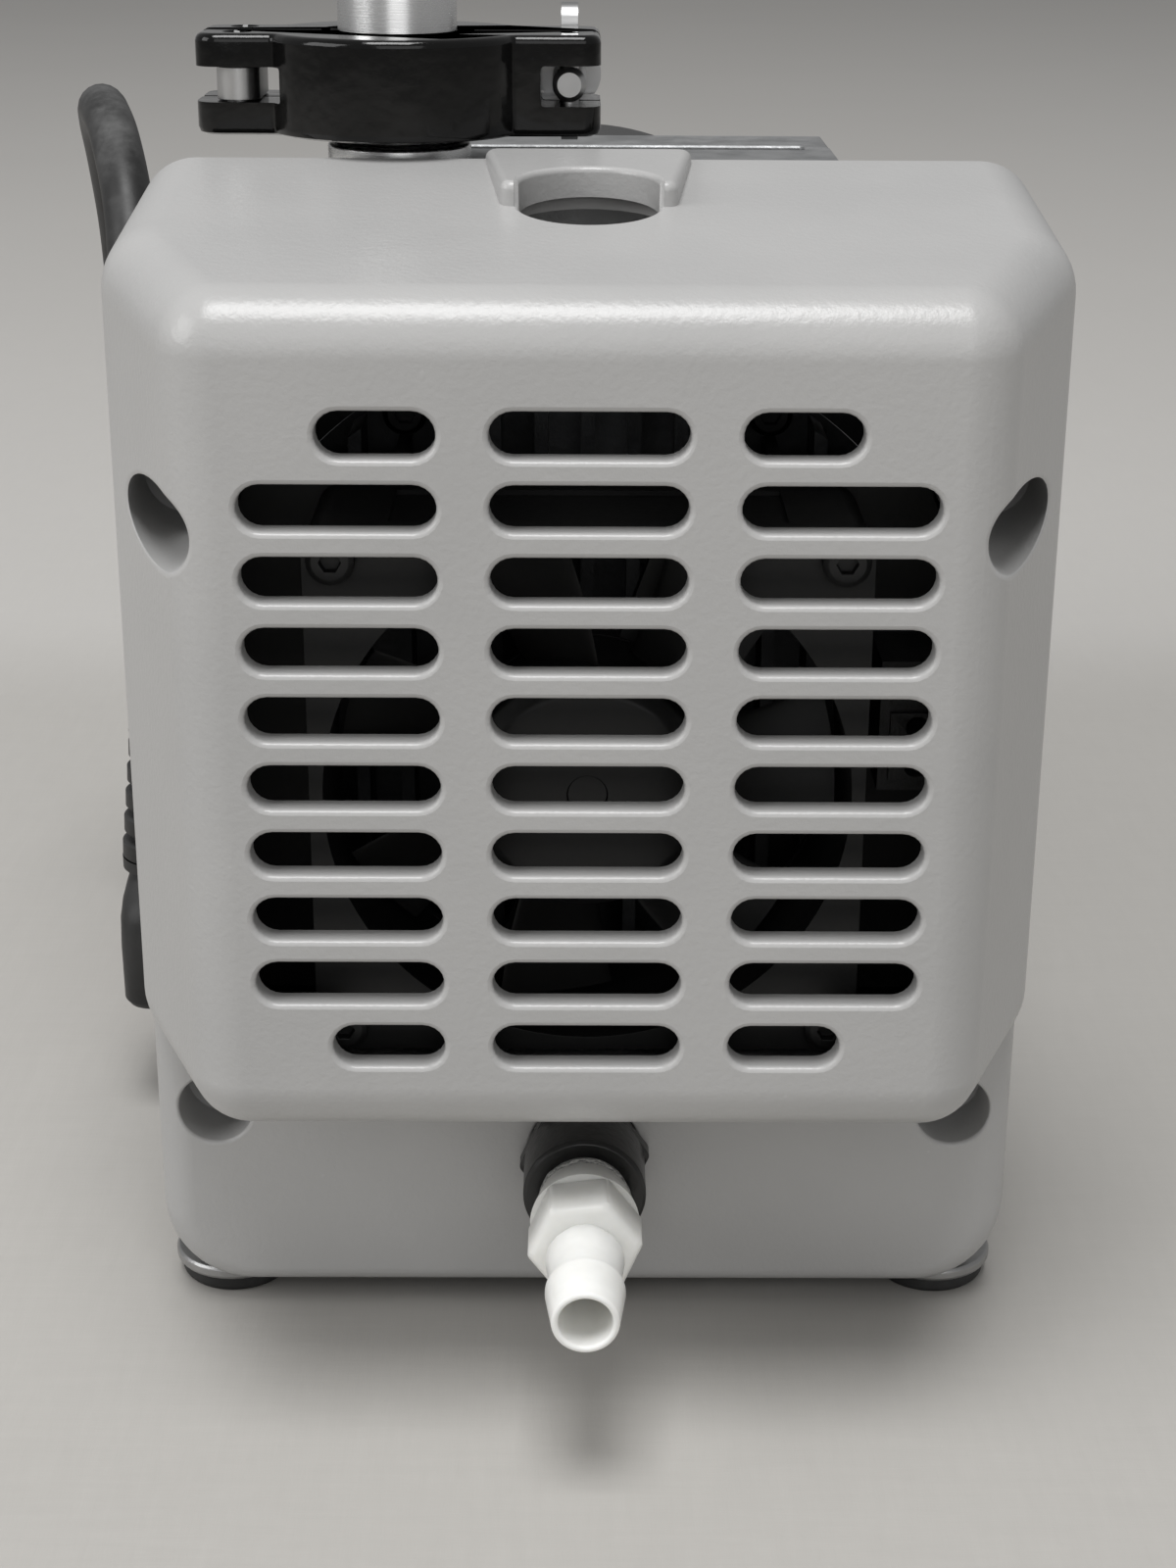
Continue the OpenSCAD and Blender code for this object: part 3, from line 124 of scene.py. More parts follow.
class Finish:
    """One node material with a Principled shader."""

    def __init__(self, name, rough=0.5, metal=0.0, **fixed):
        self.material = bpy.data.materials.new(name)
        self.material.use_nodes = True
        self.tree = self.material.node_tree
        self.shader = self.tree.nodes["Principled BSDF"]
        self.set(roughness=rough, metallic=metal, **fixed)

    def link(self, socket, value):
        """A wire is linked; a number is spread over a vector or a colour, which also gets its alpha."""
        if isinstance(value, Wire):
            self.tree.links.new(value.socket, socket)
            return
        size = len(socket.default_value) if hasattr(socket.default_value, "__len__") else 1
        if size > 1 and not hasattr(value, "__len__"):
            value = [value] * 3
        if size == 4 and len(value) == 3:
            value = list(value) + [1.0]
        socket.default_value = value

    def node(self, kind, settings, sockets, output=0):
        node = self.tree.nodes.new(kind)
        for key, value in settings.items():
            setattr(node, key, value)
        for key, value in sockets.items():
            self.link(node.inputs[key], value)
        return Wire(self, node.outputs[output])

    def place(self, scale):
        """Object coordinates, scaled along each axis."""
        where = self.node("ShaderNodeTexCoord", {}, {}, "Object")
        return self.node("ShaderNodeMapping", {}, {"Vector": where, "Scale": scale})

    def noise(self, per_mm, detail=3.0, rough=0.55, stretch=(1, 1, 1), offset=0.0):
        """Noise with about this many waves in a millimetre."""
        where = self.place([s * per_mm * 1000 for s in stretch])
        if offset:
            where = self.node("ShaderNodeVectorMath", {"operation": "ADD"}, {0: where, 1: [offset] * 3})
        return self.node("ShaderNodeTexNoise", {},
                {"Vector": where, "Scale": 1.0, "Detail": detail, "Roughness": rough})

    def cells(self, per_mm):
        """Distance to the nearest of scattered points, with about this many in a millimetre."""
        where = self.place([per_mm * 1000] * 3)
        return self.node("ShaderNodeTexVoronoi", {"feature": "F1"}, {"Vector": where, "Scale": 1.0}, "Distance")

    def mix(self, factor, a, b):
        """Colour a where factor is 0 and b where it is 1."""
        node = self.tree.nodes.new("ShaderNodeMix")
        node.data_type = "RGBA"
        for index, value in ((0, factor), (6, a), (7, b)):
            self.link(node.inputs[index], value)
        return Wire(self, node.outputs[2])

    def upward(self):
        """How far the surface faces up: the height part of its normal."""
        normal = self.node("ShaderNodeNewGeometry", {}, {}, "Normal")
        return self.node("ShaderNodeSeparateXYZ", {}, {0: normal}, 2)

    def set(self, **values):
        for key, value in values.items():
            self.link(self.shader.inputs[key.replace("_", " ").title().replace("Ior", "IOR")], value)

    def done(self, colour, rough, height, millimetres):
        """Sets colour, roughness and a bump of this height in mm, and gives the material."""
        sockets = {"Strength": 1.0, "Distance": millimetres * 0.001, "Height": height}
        self.set(base_color=colour, roughness=rough, normal=self.node("ShaderNodeBump", {}, sockets))
        return self.material


def grey(value):
    """A grey as a colour."""
    return (value, value, value)


def tint(colour, factor):
    """A colour made lighter or darker by a factor."""
    return tuple(min(1.0, c * factor) for c in colour)


def hood_coat():
    """Powder coat: pale grey, a fine pebbled skin, small changes of tone, faint pale specks of dust all over.
    """
    f = Finish("hood_coat", rough=0.3, specular_ior_level=0.5)
    pebble = f.noise(0.95, 2.0, 0.5)
    fine = f.noise(2.6, 1.0, 0.5, offset=7.0)
    cloud = f.noise(0.02, 3.0, 0.6)
    base = f.mix(cloud.step(0.3, 0.7), (0.418, 0.416, 0.412), (0.446, 0.443, 0.438))
    speck = f.cells(0.11).step(0.045, 0.02)
    base = f.mix(speck * 0.22, base, (0.56, 0.56, 0.56))
    return f.done(base, 0.24 + 0.08 * cloud + 0.05 * fine, pebble * 0.8 + fine * 0.2, 0.07)


def clamp_paint():
    """Thick glossy black paint over a casting: slow waves, a few pits and dust specks."""
    f = Finish("clamp_paint", rough=0.13, specular_ior_level=0.22, coat_weight=0.25, coat_roughness=0.06)
    waves = f.noise(0.16, 2.0, 0.5)
    dust = f.noise(0.9, 4.0, 0.7)
    up = f.upward().step(0.4, 1.0)
    base = f.mix(dust.step(0.58, 0.88) * (0.05 + 0.2 * up), grey(0.003), grey(0.05))
    return f.done(base, 0.08 + 0.16 * dust.step(0.5, 0.8), waves + 0.12 * dust, 0.22)


def polished_steel(name, ring_axis, rough, shade):
    """Turned and polished steel: fine rings about one axis, slow stains."""
    f = Finish(name, metal=1.0, rough=rough)
    rings = f.noise(5.0, 3.0, 0.6, stretch=[1.0 if axis == ring_axis else 0.04 for axis in range(3)])
    stain = f.noise(0.06, 3.0, 0.6)
    base = f.mix(stain.step(0.35, 0.7), grey(shade), tint(grey(shade), 0.86))
    return f.done(base, rough + 0.12 * rings + 0.08 * stain, rings, 0.01)


def metal(name, colour, rough, grain, depth, stain, stretch=(1, 1, 1), dust=0.0):
    """Bare metal: a grain that roughens it, stains that darken it, and dust on what faces up."""
    f = Finish(name, metal=1.0, rough=rough)
    g = f.noise(grain, 4.0, 0.6, stretch=stretch)
    s = f.noise(0.035, 4.0, 0.65)
    base = f.mix(s.step(0.35, 0.75), colour, tint(colour, 1 - stain))
    r = rough + 0.16 * (g - 0.5) + 0.14 * s.step(0.4, 0.8)
    if dust:
        film = f.upward().step(0.3, 1.0) * f.noise(0.12, 4.0, 0.7).step(0.3, 0.7) * dust
        base = f.mix(film, base, grey(0.22))
        r = r + 0.3 * film
        f.set(metallic=1 - film)
    return f.done(base, r, g, depth)


def moulded(name, colour, rough, grain, depth, dust, dust_tone, coat=0.0):
    """Moulded plastic or rubber: fine grain, changes of tone, dust in patches that gathers on what faces up."""
    f = Finish(name, rough=rough, coat_weight=coat)
    g = f.noise(grain, 3.0, 0.55)
    patch = f.noise(0.05, 4.0, 0.65).step(0.42, 0.72)
    film = (patch * 0.7 + f.upward().step(0.2, 1.0) * 0.5) * dust
    return f.done(f.mix(film, colour, grey(dust_tone)), rough + 0.10 * (g - 0.5) + 0.35 * film, g, depth)


def nylon():
    """Milky nylon: light passes a little way in, with slow cloudiness and moulding flow lines."""
    f = Finish("milky_nylon", subsurface_weight=0.35, subsurface_scale=0.004, ior=1.5,
               subsurface_radius=(1.0, 0.95, 0.85))
    cloud = f.noise(0.12, 3.0, 0.6)
    flow = f.noise(0.7, 3.0, 0.6, stretch=(1, 0.15, 1))
    base = f.mix(cloud.step(0.3, 0.7), (0.90, 0.90, 0.87), (0.82, 0.82, 0.79))
    return f.done(base, 0.26 + 0.16 * flow, flow, 0.03)


def sealant():
    """Thread sealant film: white, stringy, uneven."""
    f = Finish("thread_sealant", rough=0.45)
    strings = f.noise(1.4, 5.0, 0.7, stretch=(1, 3.0, 1))
    base = f.mix(strings.step(0.35, 0.65), (0.10, 0.10, 0.10), (0.58, 0.58, 0.56))
    return f.done(base, 0.35 + 0.3 * strings, strings, 0.25)


def cord_jacket():
    """Rubber cord jacket: dusty worn patches and fine scuffs."""
    f = Finish("cord_jacket", rough=0.55)
    patch = f.noise(0.055, 5.0, 0.7).step(0.36, 0.72)
    scuff = f.noise(0.7, 4.0, 0.7)
    up = f.upward().step(-0.2, 1.0)
    film = (patch * (0.35 + 0.65 * up) * (0.5 + scuff)).least(1.0)
    base = f.mix(film * 0.55, grey(0.014), grey(0.16))
    return f.done(base, 0.42 + 0.35 * film + 0.1 * scuff, scuff * 0.6 + f.noise(0.25, 2.0) * 0.4, 0.06)


def laminated():
    """Core steel in thin sheets across the shaft."""
    f = Finish("laminated_core", metal=0.8, rough=0.5)
    sheets = f.node("ShaderNodeTexWave", {"wave_type": "BANDS", "bands_direction": "Y"},
            {"Vector": f.place((1, 1, 1)), "Scale": 320.0, "Distortion": 0.3})
    stain = f.noise(0.05, 4.0, 0.6)
    base = f.mix(stain.step(0.3, 0.7), (0.25, 0.23, 0.21), (0.34, 0.24, 0.16))
    return f.done(base, 0.42 + 0.2 * sheets, sheets, 0.06)


def wound_copper():
    """Enamelled wire packed round the shaft in strands."""
    f = Finish("wound_copper", metal=0.85, rough=0.35)
    strands = f.noise(1.1, 3.0, 0.5, stretch=(0.4, 1.6, 0.4))
    base = f.mix(strands.step(0.4, 0.6), (0.30, 0.11, 0.04), (0.55, 0.24, 0.09))
    return f.done(base, 0.3 + 0.2 * strands, strands, 0.35)


def bench_top():
    """Pale bench with a faint woven grain, lighter away from the pump, where the photograph shows a wall."""
    f = Finish("bench_top", rough=0.6)
    where = f.node("ShaderNodeTexCoord", {}, {}, "Object")
    depth = f.node("ShaderNodeSeparateXYZ", {}, {0: where}, 1)
    far = depth.step(0.17, 0.27)
    grain = (f.noise(0.45, 4.0, 0.7, stretch=(0.12, 1.0, 1.0))
            + f.noise(0.45, 4.0, 0.7, stretch=(1.0, 0.12, 1.0), offset=3.0))
    cloud = f.noise(0.006, 3.0, 0.6)
    tone = (grain - 1.0) * 0.16 + (cloud - 0.5) * 0.10 + 0.5
    near = f.mix(tone, (0.35, 0.338, 0.318), (0.54, 0.525, 0.498))
    away = f.mix(tone, (0.44, 0.428, 0.408), (0.60, 0.585, 0.562))
    return f.done(f.mix(far, near, away), 0.5 + 0.1 * grain, grain, 0.05)


HOOD = hood_coat()
BLACK_PAINT = clamp_paint()
TUBE_STEEL = polished_steel("tube_steel", 2, 0.18, 0.82)
BOLT_STEEL = polished_steel("bolt_steel", 1, 0.24, 0.56)
SCREW_STEEL = metal("screw_steel", (0.42, 0.42, 0.43), 0.32, 2.0, 0.02, 0.3)
RACE_STEEL = polished_steel("race_steel", 1, 0.12, 0.6)
DARK_STEEL = metal("dark_steel", (0.045, 0.045, 0.046), 0.4, 2.0, 0.02, 0.3)
CASTING = metal("casting", (0.36, 0.365, 0.37), 0.46, 0.8, 0.12, 0.3, dust=0.5)
SCROLL_ALLOY = metal("scroll_alloy", (0.46, 0.465, 0.47), 0.34, 1.4, 0.04, 0.25, dust=0.25)
# Painted shade: a near-black copy of the scroll alloy for the fixed scroll, standing for the shade behind the
# grille.
SCROLL_PAINTED_SHADE = metal("scroll_front", (0.085, 0.087, 0.09), 0.5, 1.0, 0.08, 0.3, dust=0.12)
ZINC = metal("zinc_sheet", (0.36, 0.37, 0.38), 0.42, 0.5, 0.03, 0.35, dust=0.2)
FOOT_ALLOY = metal("foot_alloy", (0.50, 0.50, 0.50), 0.36, 1.2, 0.04, 0.3, stretch=(1, 1, 3))
MOTOR_PAINT = moulded("motor_paint", (0.055, 0.058, 0.062), 0.42, 0.5, 0.08, 0.22, 0.28)
BOX_PAINT = moulded("box_paint", (0.075, 0.078, 0.082), 0.45, 1.1, 0.05, 0.16, 0.28)
FAN_BLACK = moulded("fan_black", grey(0.005), 0.5, 1.0, 0.03, 0.10, 0.05)
BLOCK_BLACK = moulded("block_black", grey(0.012), 0.5, 2.4, 0.10, 0.30, 0.16)
COVER_BLACK = moulded("cover_black", grey(0.016), 0.45, 0.9, 0.05, 0.14, 0.26)
PLUG_RUBBER = moulded("plug_rubber", grey(0.008), 0.52, 1.3, 0.05, 0.16, 0.12)
FOOT_RUBBER = moulded("foot_rubber", grey(0.010), 0.62, 1.5, 0.05, 0.16, 0.24)
TIE_BLACK = moulded("tie_black", grey(0.012), 0.4, 1.0, 0.03, 0.1, 0.24)
SWITCH_RED = moulded("switch_red", (0.34, 0.014, 0.010), 0.24, 1.2, 0.01, 0.08, 0.3, coat=0.3)
TIP_SEAL = moulded("tip_seal", (0.52, 0.50, 0.44), 0.5, 1.2, 0.02, 0.05, 0.4)
BLACK_SHEET = moulded("black_sheet", grey(0.006), 0.5, 1.2, 0.03, 0.08, 0.08)
ELBOW_BLACK = moulded("elbow_black", grey(0.006), 0.30, 0.8, 0.08, 0.10, 0.12)
NYLON = nylon()
SEALANT = sealant()
JACKET = cord_jacket()
CORE = laminated()
COPPER = wound_copper()
BRASS = metal("plain_brass", (0.52, 0.38, 0.16), 0.32, 1.4, 0.02, 0.3)
BLADE_BRASS = metal("blade_brass", (0.62, 0.54, 0.34), 0.26, 1.8, 0.01, 0.2)


# SHAPES

def joined(*parts):
    """Several (points, faces) as one."""
    points, faces, start = [], [], 0
    for p, f in parts:
        p = np.asarray(p, float).reshape(-1, 3)
        points.append(p)
        faces += [[i + start for i in face] for face in f]
        start += len(p)
    return np.concatenate(points), faces


def skin(rings, caps=(True, True)):
    """Quads between closed rings of points, ring i to i + 1, with flat caps."""
    rings = np.asarray(rings, float)
    m, n = rings.shape[:2]
    i, j = np.meshgrid(np.arange(m - 1), np.arange(n), indexing="ij")
    a, b = i * n + j, i * n + (j + 1) % n
    faces = np.stack([a, b, b + n, a + n], -1).reshape(-1, 4).tolist()
    if caps[0]:
        faces.append(list(range(n))[::-1])
    if caps[1]:
        faces.append(list(range((m - 1) * n, m * n)))
    return rings.reshape(-1, 3), faces


def upright(ring, d):
    """A ring of X and height put at a depth."""
    return np.column_stack([ring[:, 0], np.full(len(ring), d), ring[:, 1]])


def rounded_line(points, radii, n, closed=False):
    """A polyline whose corners are arcs: each arc touches both sides at radius times tan of half the turn."""
    p = np.array(points, float)
    radii = np.broadcast_to(np.array(radii, float), (len(p),))
    out = []
    for i in range(len(p)):
        if not closed and i in (0, len(p) - 1) or radii[i] <= 0:
            out.append(p[i][None])
            continue
        a, b = p[i - 1] - p[i], p[(i + 1) % len(p)] - p[i]
        la, lb = np.linalg.norm(a), np.linalg.norm(b)
        a, b = a / la, b / lb
        half = math.acos(np.clip(a @ b, -1, 1)) / 2
        reach = min(radii[i] / math.tan(half), 0.49 * la, 0.49 * lb)
        r = reach * math.tan(half)
        centre = p[i] + (a + b) / np.linalg.norm(a + b) * (r / math.sin(half))
        start, end = p[i] + a * reach - centre, p[i] + b * reach - centre
        w = math.pi - 2 * half
        t = np.linspace(0, 1, n + 1)[:, None]
        out.append(centre + (np.sin((1 - t) * w) * start + np.sin(t * w) * end) / math.sin(w))
    return np.concatenate(out)


def turned(profile, origin, axis, n):
    """A profile of (radius, height) turned about an axis ("x", "y" or "z") through origin; a closed profile
    gives a hollow body, an open one is closed on the axis."""
    p = np.array(profile, float)
    a = np.arange(n) / n * TAU
    r, h = p[:, :1], np.repeat(p[:, 1:], n, 1)
    u, v = r * np.cos(a), r * np.sin(a)
    order = {"z": (u, v, h), "y": (v, h, u), "x": (h, u, v)}[axis]
    rings = np.stack(order, -1) + np.array(origin, float)
    if np.allclose(p[0], p[-1]):
        return skin(rings, caps=(False, False))
    return skin(rings, caps=(p[0, 0] > 1e-6, p[-1, 0] > 1e-6))


def rod(radius, start, end, origin, axis="y", n=48):
    """A plain cylinder from start to end along an axis through origin."""
    return turned([(0, start), (radius, start), (radius, end), (0, end)], origin, axis, n)


def closed_profile(points, radii):
    """A closed profile with rounded corners, its first point repeated at its end."""
    p = rounded_line(points, radii, 4, closed=True)
    return np.concatenate([p, p[:1]])


def spline(points, per):
    """A smooth curve through the points: each stretch is the cubic whose ends lean along the neighbours."""
    p = np.array(points, float)
    n = len(p) - 1
    i = np.repeat(np.arange(n), per)
    t = np.tile(np.arange(per) / per, n)[:, None]
    a, b, c, e = p[np.maximum(i - 1, 0)], p[i], p[i + 1], p[np.minimum(i + 2, n)]
    q = 0.5 * (2 * b + (c - a) * t + (2 * a - 5 * b + 4 * c - e) * t ** 2 + (3 * b - a - 3 * c + e) * t ** 3)
    return np.concatenate([q, p[-1:]])


def tube(path, radius, n, first=(0, 0, 1)):
    """A circle carried along a path without twist, its first spoke as near as can be to the given one."""
    p = np.array(path, float)
    t = np.gradient(p, axis=0)
    t /= np.linalg.norm(t, axis=1)[:, None]
    side = np.array(first, float)
    sides = []
    for k in range(len(p)):
        side = side - (side @ t[k]) * t[k]
        side = side / np.linalg.norm(side)
        sides.append(side)
    s = np.array(sides)
    w = np.cross(t, s)
    a = np.arange(n) / n * TAU
    c, z = np.cos(a)[None, :, None], np.sin(a)[None, :, None]
    return skin(p[:, None] + radius * (c * s[:, None] + z * w[:, None]))


def bar_block(x0, x1, d0, d1, z0, z1, r):
    """A block along the depth whose section is a rectangle with round corners and eased ends."""
    rings = []
    ease = min(r * 0.7, (d1 - d0) / 3)
    for inset, d in ((ease, d0), (ease * 0.3, d0 + ease * 0.3), (0, d0 + ease),
            (0, d1 - ease), (ease * 0.3, d1 - ease * 0.3), (ease, d1)):
        xa, xb, za, zb = x0 + inset, x1 - inset, z0 + inset, z1 - inset
        corners = [[xa, za], [xb, za], [xb, zb], [xa, zb]]
        rings.append(upright(rounded_line(corners, max(r - inset * 0.5, 0.05), 4, True), d))
    return skin(rings)


def cleaned(mesh, weld, slivers=False, flat=0.0):
    """Merges doubles; then faces less than flat degrees apart become one, or normals turn outward."""
    tidy = bmesh.new()
    tidy.from_mesh(mesh)
    bmesh.ops.remove_doubles(tidy, verts=tidy.verts, dist=weld * 0.001)
    if slivers:
        bmesh.ops.dissolve_degenerate(tidy, edges=tidy.edges, dist=1e-7)
    if flat:
        bmesh.ops.dissolve_limit(tidy, angle_limit=math.radians(flat), verts=tidy.verts, edges=tidy.edges)
    else:
        bmesh.ops.recalc_face_normals(tidy, faces=tidy.faces)
    tidy.to_mesh(mesh)
    tidy.free()
    return mesh


def meshed(name, shape, weld=WELD, slivers=False):
    """A shape in mm as a mesh in the shared frame."""
    points, faces = shape
    mesh = bpy.data.meshes.new(name)
    mesh.from_pydata(place(points), [], faces)
    return cleaned(mesh, weld, slivers)


def piece(name, shape, finish, node, smooth=38):
    """A shape in mm as a piece, shaded soft below an angle."""
    return shown(name, meshed(name, shape), finish, node, smooth)


def shown(name, mesh, finish, node, smooth):
    """Links a mesh as an object that stands for its CAD nodes and rides on their body."""
    mesh.materials.clear()
    mesh.materials.append(finish)
    mesh.shade_smooth()
    mesh.set_sharp_from_angle(angle=math.radians(smooth))
    obj = linked(name, mesh)
    nodes = [node] if isinstance(node, str) else node
    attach(obj, body_of(nodes[0]))
    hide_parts(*nodes)
    return obj


def body_of(node):
    """The moving body that a CAD node belongs to."""
    bodies = frame["record"]["behaviour"]["bodies"]
    return next(name for name, members in bodies.items() if node in members)


def eased(node, finish, width, segments=2, angle=30, cuts=()):
    """A copy of a CAD node with its sharp edges rounded, after the given shapes are cut out of it."""
    mesh = NODES[node].data.copy()
    mesh.name = node + "_eased"
    cleaned(mesh, 0.001, flat=0.6)
    if cuts:
        mesh = worked(linked("stock", mesh), [("DIFFERENCE", stock(shape)) for shape in cuts])
    obj = shown(node + "_eased", mesh, finish, node, angle)
    bevel = obj.modifiers.new("eased_edges", "BEVEL")
    bevel.limit_method = "ANGLE"
    bevel.angle_limit = math.radians(angle)
    bevel.width = width * 0.001
    bevel.segments = segments
    bevel.harden_normals = False
    bevel.use_clamp_overlap = True
    return obj


def coated(node, finish):
    """A CAD node kept as it is, with a finish."""
    data = NODES[node].data
    if not data.materials:
        data.materials.append(finish)
    for entry in NODES[node].material_slots:
        entry.material = finish


# MAINS LEAD

CORD_R = 4.5
COIL_Z = CORD_R + 1.4        # height of the coil's lower layer
COIL_TURNS, COIL_PITCH, COIL_MIDDLE = 5, 9.6, 50.4
LEAD_X, LEAD_D = -80.0, 120  # the connector's axis
PLUG_Z, PLUG_LAP = 12, 12    # height of the plug, how far it reaches over the cord
ROUTE = [
    [-80, 120, 73], [-80, 120, 87], [-80, 120, 103], [-80, 120, 120], [-80, 120, 136.6],
    [-80.3, 123.5, 153.8], [-82.2, 133.2, 168.4], [-86.4, 147.8, 178.2], [-91.2, 165, 181.6],
    [-94.8, 182.2, 178.2], [-96.3, 196.8, 168.4], [-96.6, 206.6, 153.8], [-96.5, 210, 136.6],
    [-96.5, 210, 119], [-96.5, 210, 102], [-96.5, 210, 85], [-96.5, 210, 68],
    [-96.5, 210, 51.2], [-96.5, 213.5, 33.6], [-96.5, 223.5, 18.7], [-96.5, 238.4, 8.7],
    [-96.5, 256, 5.2], [-96.3, 275, 5.2], [-94.6, 294, 5.2], [-89.6, 313, 5.2],
    [-82.8, 332, 5.2], [-75.9, 351, 5.4], [-70.9, 370, 5.6],
    [-69, 389, COIL_Z], [-69, 400, COIL_Z], [-69, 407, COIL_Z], [-69, 414, COIL_Z],
]


def coil_points(steps=48):
    """Winds inward at a steady rate, climbs a layer in the half turn about its middle and winds out again."""
    half = COIL_TURNS / 2
    outer = COIL_MIDDLE + COIL_PITCH * half / 2
    centre = np.array([ROUTE[-1][0] + outer, ROUTE[-1][1] + 9.0])
    i = np.arange(COIL_TURNS * steps + 1)
    a = math.pi - i / steps * TAU
    r = outer - COIL_PITCH * half * (1 - np.abs(1 - 2 * i / i[-1]))
    t = np.clip(((i / steps - half) * 360 + 90) / 180, 0, 1)
    z = COIL_Z + COIL_PITCH * t * t * (3 - 2 * t)
    return np.column_stack([centre[0] + r * np.cos(a), centre[1] + r * np.sin(a), z]), centre


coil, coil_centre = coil_points()
coil_end = coil[-1] + [0, 9.0, 0]
drop = PLUG_Z - coil_end[2]
TAIL = [coil_end + np.array(step) for step in
        ([0, 0, 0], [0, 7, 0], [0, 14, 0], [1.2, 28, drop / 2], [4, 42, drop], [7.6, 56, drop])]
cord_path = np.concatenate([spline(ROUTE, 8), coil, spline(TAIL, 6)])
plug_end = TAIL[-1]
plug_turn = math.atan(3.6 / 14)


def turned_about_plug(points):
    """Points drawn with the plug's cord end at the origin and its blades along the depth, laid on the tail."""
    p = np.array(points, float).reshape(-1, 3)
    c, s = math.cos(plug_turn), math.sin(plug_turn)
    x, d = p[:, 0], p[:, 1] - PLUG_LAP
    return np.column_stack([plug_end[0] + x * c + d * s, plug_end[1] - x * s + d * c, p[:, 2]])


def superring(x, y, hx, hy, power, n):
    """A ring whose points satisfy |x/hx|^power + |y/hy|^power = 1, about the point x, y."""
    a = np.arange(n) / n * TAU
    c, s = np.cos(a), np.sin(a)
    return np.column_stack([x + hx * np.sign(c) * np.abs(c) ** (2 / power),
            y + hy * np.sign(s) * np.abs(s) ** (2 / power)])


def plug_body():
    """Superellipse rings along the depth; each station is depth, half width, half height, power."""
    stations = [(0, 5.6, 5.6, 2), (3, 6.0, 6.0, 2)]
    for k in range(5):
        d, r = 4.5 + 4 * k, 6.1 + 0.12 * k
        stations += [(d, r - 0.9, r - 0.9, 2), (d + 0.9, r - 0.9, r - 0.9, 2), (d + 1.1, r, r, 2),
                (d + 3.0, r + 0.1, r + 0.1, 2)]
    stations += [(25, 6.8, 6.8, 2), (31, 8.2, 8.4, 2.4), (37, 9.6, 9.9, 3), (41, 11.2, 11.4, 4.2),
            (44, 11.8, 11.8, 5), (46, 11.0, 11.2, 5), (48, 11.0, 11.2, 5), (50, 11.8, 11.8, 5),
            (56.5, 11.9, 11.9, 5.5), (58.4, 11.6, 11.6, 5), (59, 10.9, 10.9, 4.6)]
    p, f = skin([upright(superring(0, PLUG_Z, hx, hz, power, 48), d) for d, hx, hz, power in stations])
    return turned_about_plug(p), f


def tie_band():
    """A band about the coil's section, 1.1 thick and 9.2 wide, at 40 degrees round the coil."""
    half = COIL_PITCH * COIL_TURNS / 4 + CORD_R + 1.7
    lo, hi, top = COIL_MIDDLE - half, COIL_MIDDLE + half, COIL_Z + COIL_PITCH + CORD_R + 1.5
    wall, reach, a = 1.1, 4.6, math.radians(40)
    outer = rounded_line([[lo, 0], [hi, 0], [hi, top], [lo, top]], 2.5, 6, True)
    left, right, roof_z = lo + wall, hi - wall, top - wall
    inner = rounded_line([[left, wall], [right, wall], [right, roof_z], [left, roof_z]], 1.6, 6, True)
    p, f = skin([upright(ring, d) for ring, d in ((outer, -reach), (outer, reach), (inner, reach),
            (inner, -reach), (outer, -reach))], caps=(False, False))
    x = coil_centre[0] + p[:, 0] * math.cos(a) - p[:, 1] * math.sin(a)
    y = coil_centre[1] + p[:, 0] * math.sin(a) + p[:, 1] * math.cos(a)
    return np.column_stack([x, y, p[:, 2]]), f


def relief_sleeve():
    """A ribbed sleeve on the connector that narrows upward in five steps."""
    outline = [(5.0, 73.9), (5.4, 74.0), (5.5, 73.4)]
    for k in range(4, -1, -1):
        z, r = 48.3 + 5 * k, 7.9 - 0.55 * k
        outline += [(r - 0.45, z + 3.3), (r - 0.1, z + 3.1), (r + 0.02, z + 0.3), (r - 0.25, z),
                (r - 1.5, z - 0.2), (r - 1.4, z - 1.5)]
    outline += [(8.0, 48.3), (8.0, 46.1), (4.6, 46.0), (4.6, 73.6), (5.0, 73.9)]
    return turned(outline, (LEAD_X, LEAD_D, 0), "z", 48)


def connector_shell():
    """Superellipse rings that rise to the sleeve, and the block that plugs into the power inlet."""
    n, rings = 56, []
    for z, x, hx, hd, power in ((21, 3, 9.4, 12.2, 4), (21.3, 3, 10.3, 13.2, 4.5), (22.6, 3, 10.9, 13.9, 5),
            (33, 3, 11, 14, 5), (38.6, 2.9, 10.8, 13.8, 4.6), (41.2, 2.2, 9.9, 12.6, 3.6),
            (43, 1.3, 8.6, 10.4, 2.6), (44.8, 0.4, 7.2, 7.8, 2.1), (46, 0, 6.6, 6.7, 2)):
        rings.append(np.column_stack([superring(LEAD_X + x, LEAD_D, hx, hd, power, n), np.full(n, z)]))
    p, f = bar_block(-12.1, 12.1, -20.6, -1, -8.3, 8.3, 1.2)
    return joined(skin(rings), (np.column_stack([p[:, 1] - 48.4, LEAD_D + p[:, 0], 32 + p[:, 2]]), f))


def make_lead():
    """The lead with its plug, tie, sleeve and connector; the cord is one piece."""
    cord = piece("mains_cord", tube(cord_path, CORD_R * 0.996, 20, (1, 0, 0)), JACKET,
            ["lead_run", "lead_coil"])
    plug = piece("mains_plug_body", plug_body(), PLUG_RUBBER, "mains_plug", smooth=50)
    coated("plug_blades", BLADE_BRASS)
    tie = piece("coil_tie", tie_band(), TIE_BLACK, "lead_tie")
    sleeve = piece("cord_sleeve", relief_sleeve(), PLUG_RUBBER, "strain_relief", smooth=50)
    connector = piece("lead_socket", connector_shell(), PLUG_RUBBER, "lead_connector", smooth=50)
    place([ROUTE[0]])[0]
    place(cord_path)


make_lead()


# CUTTING

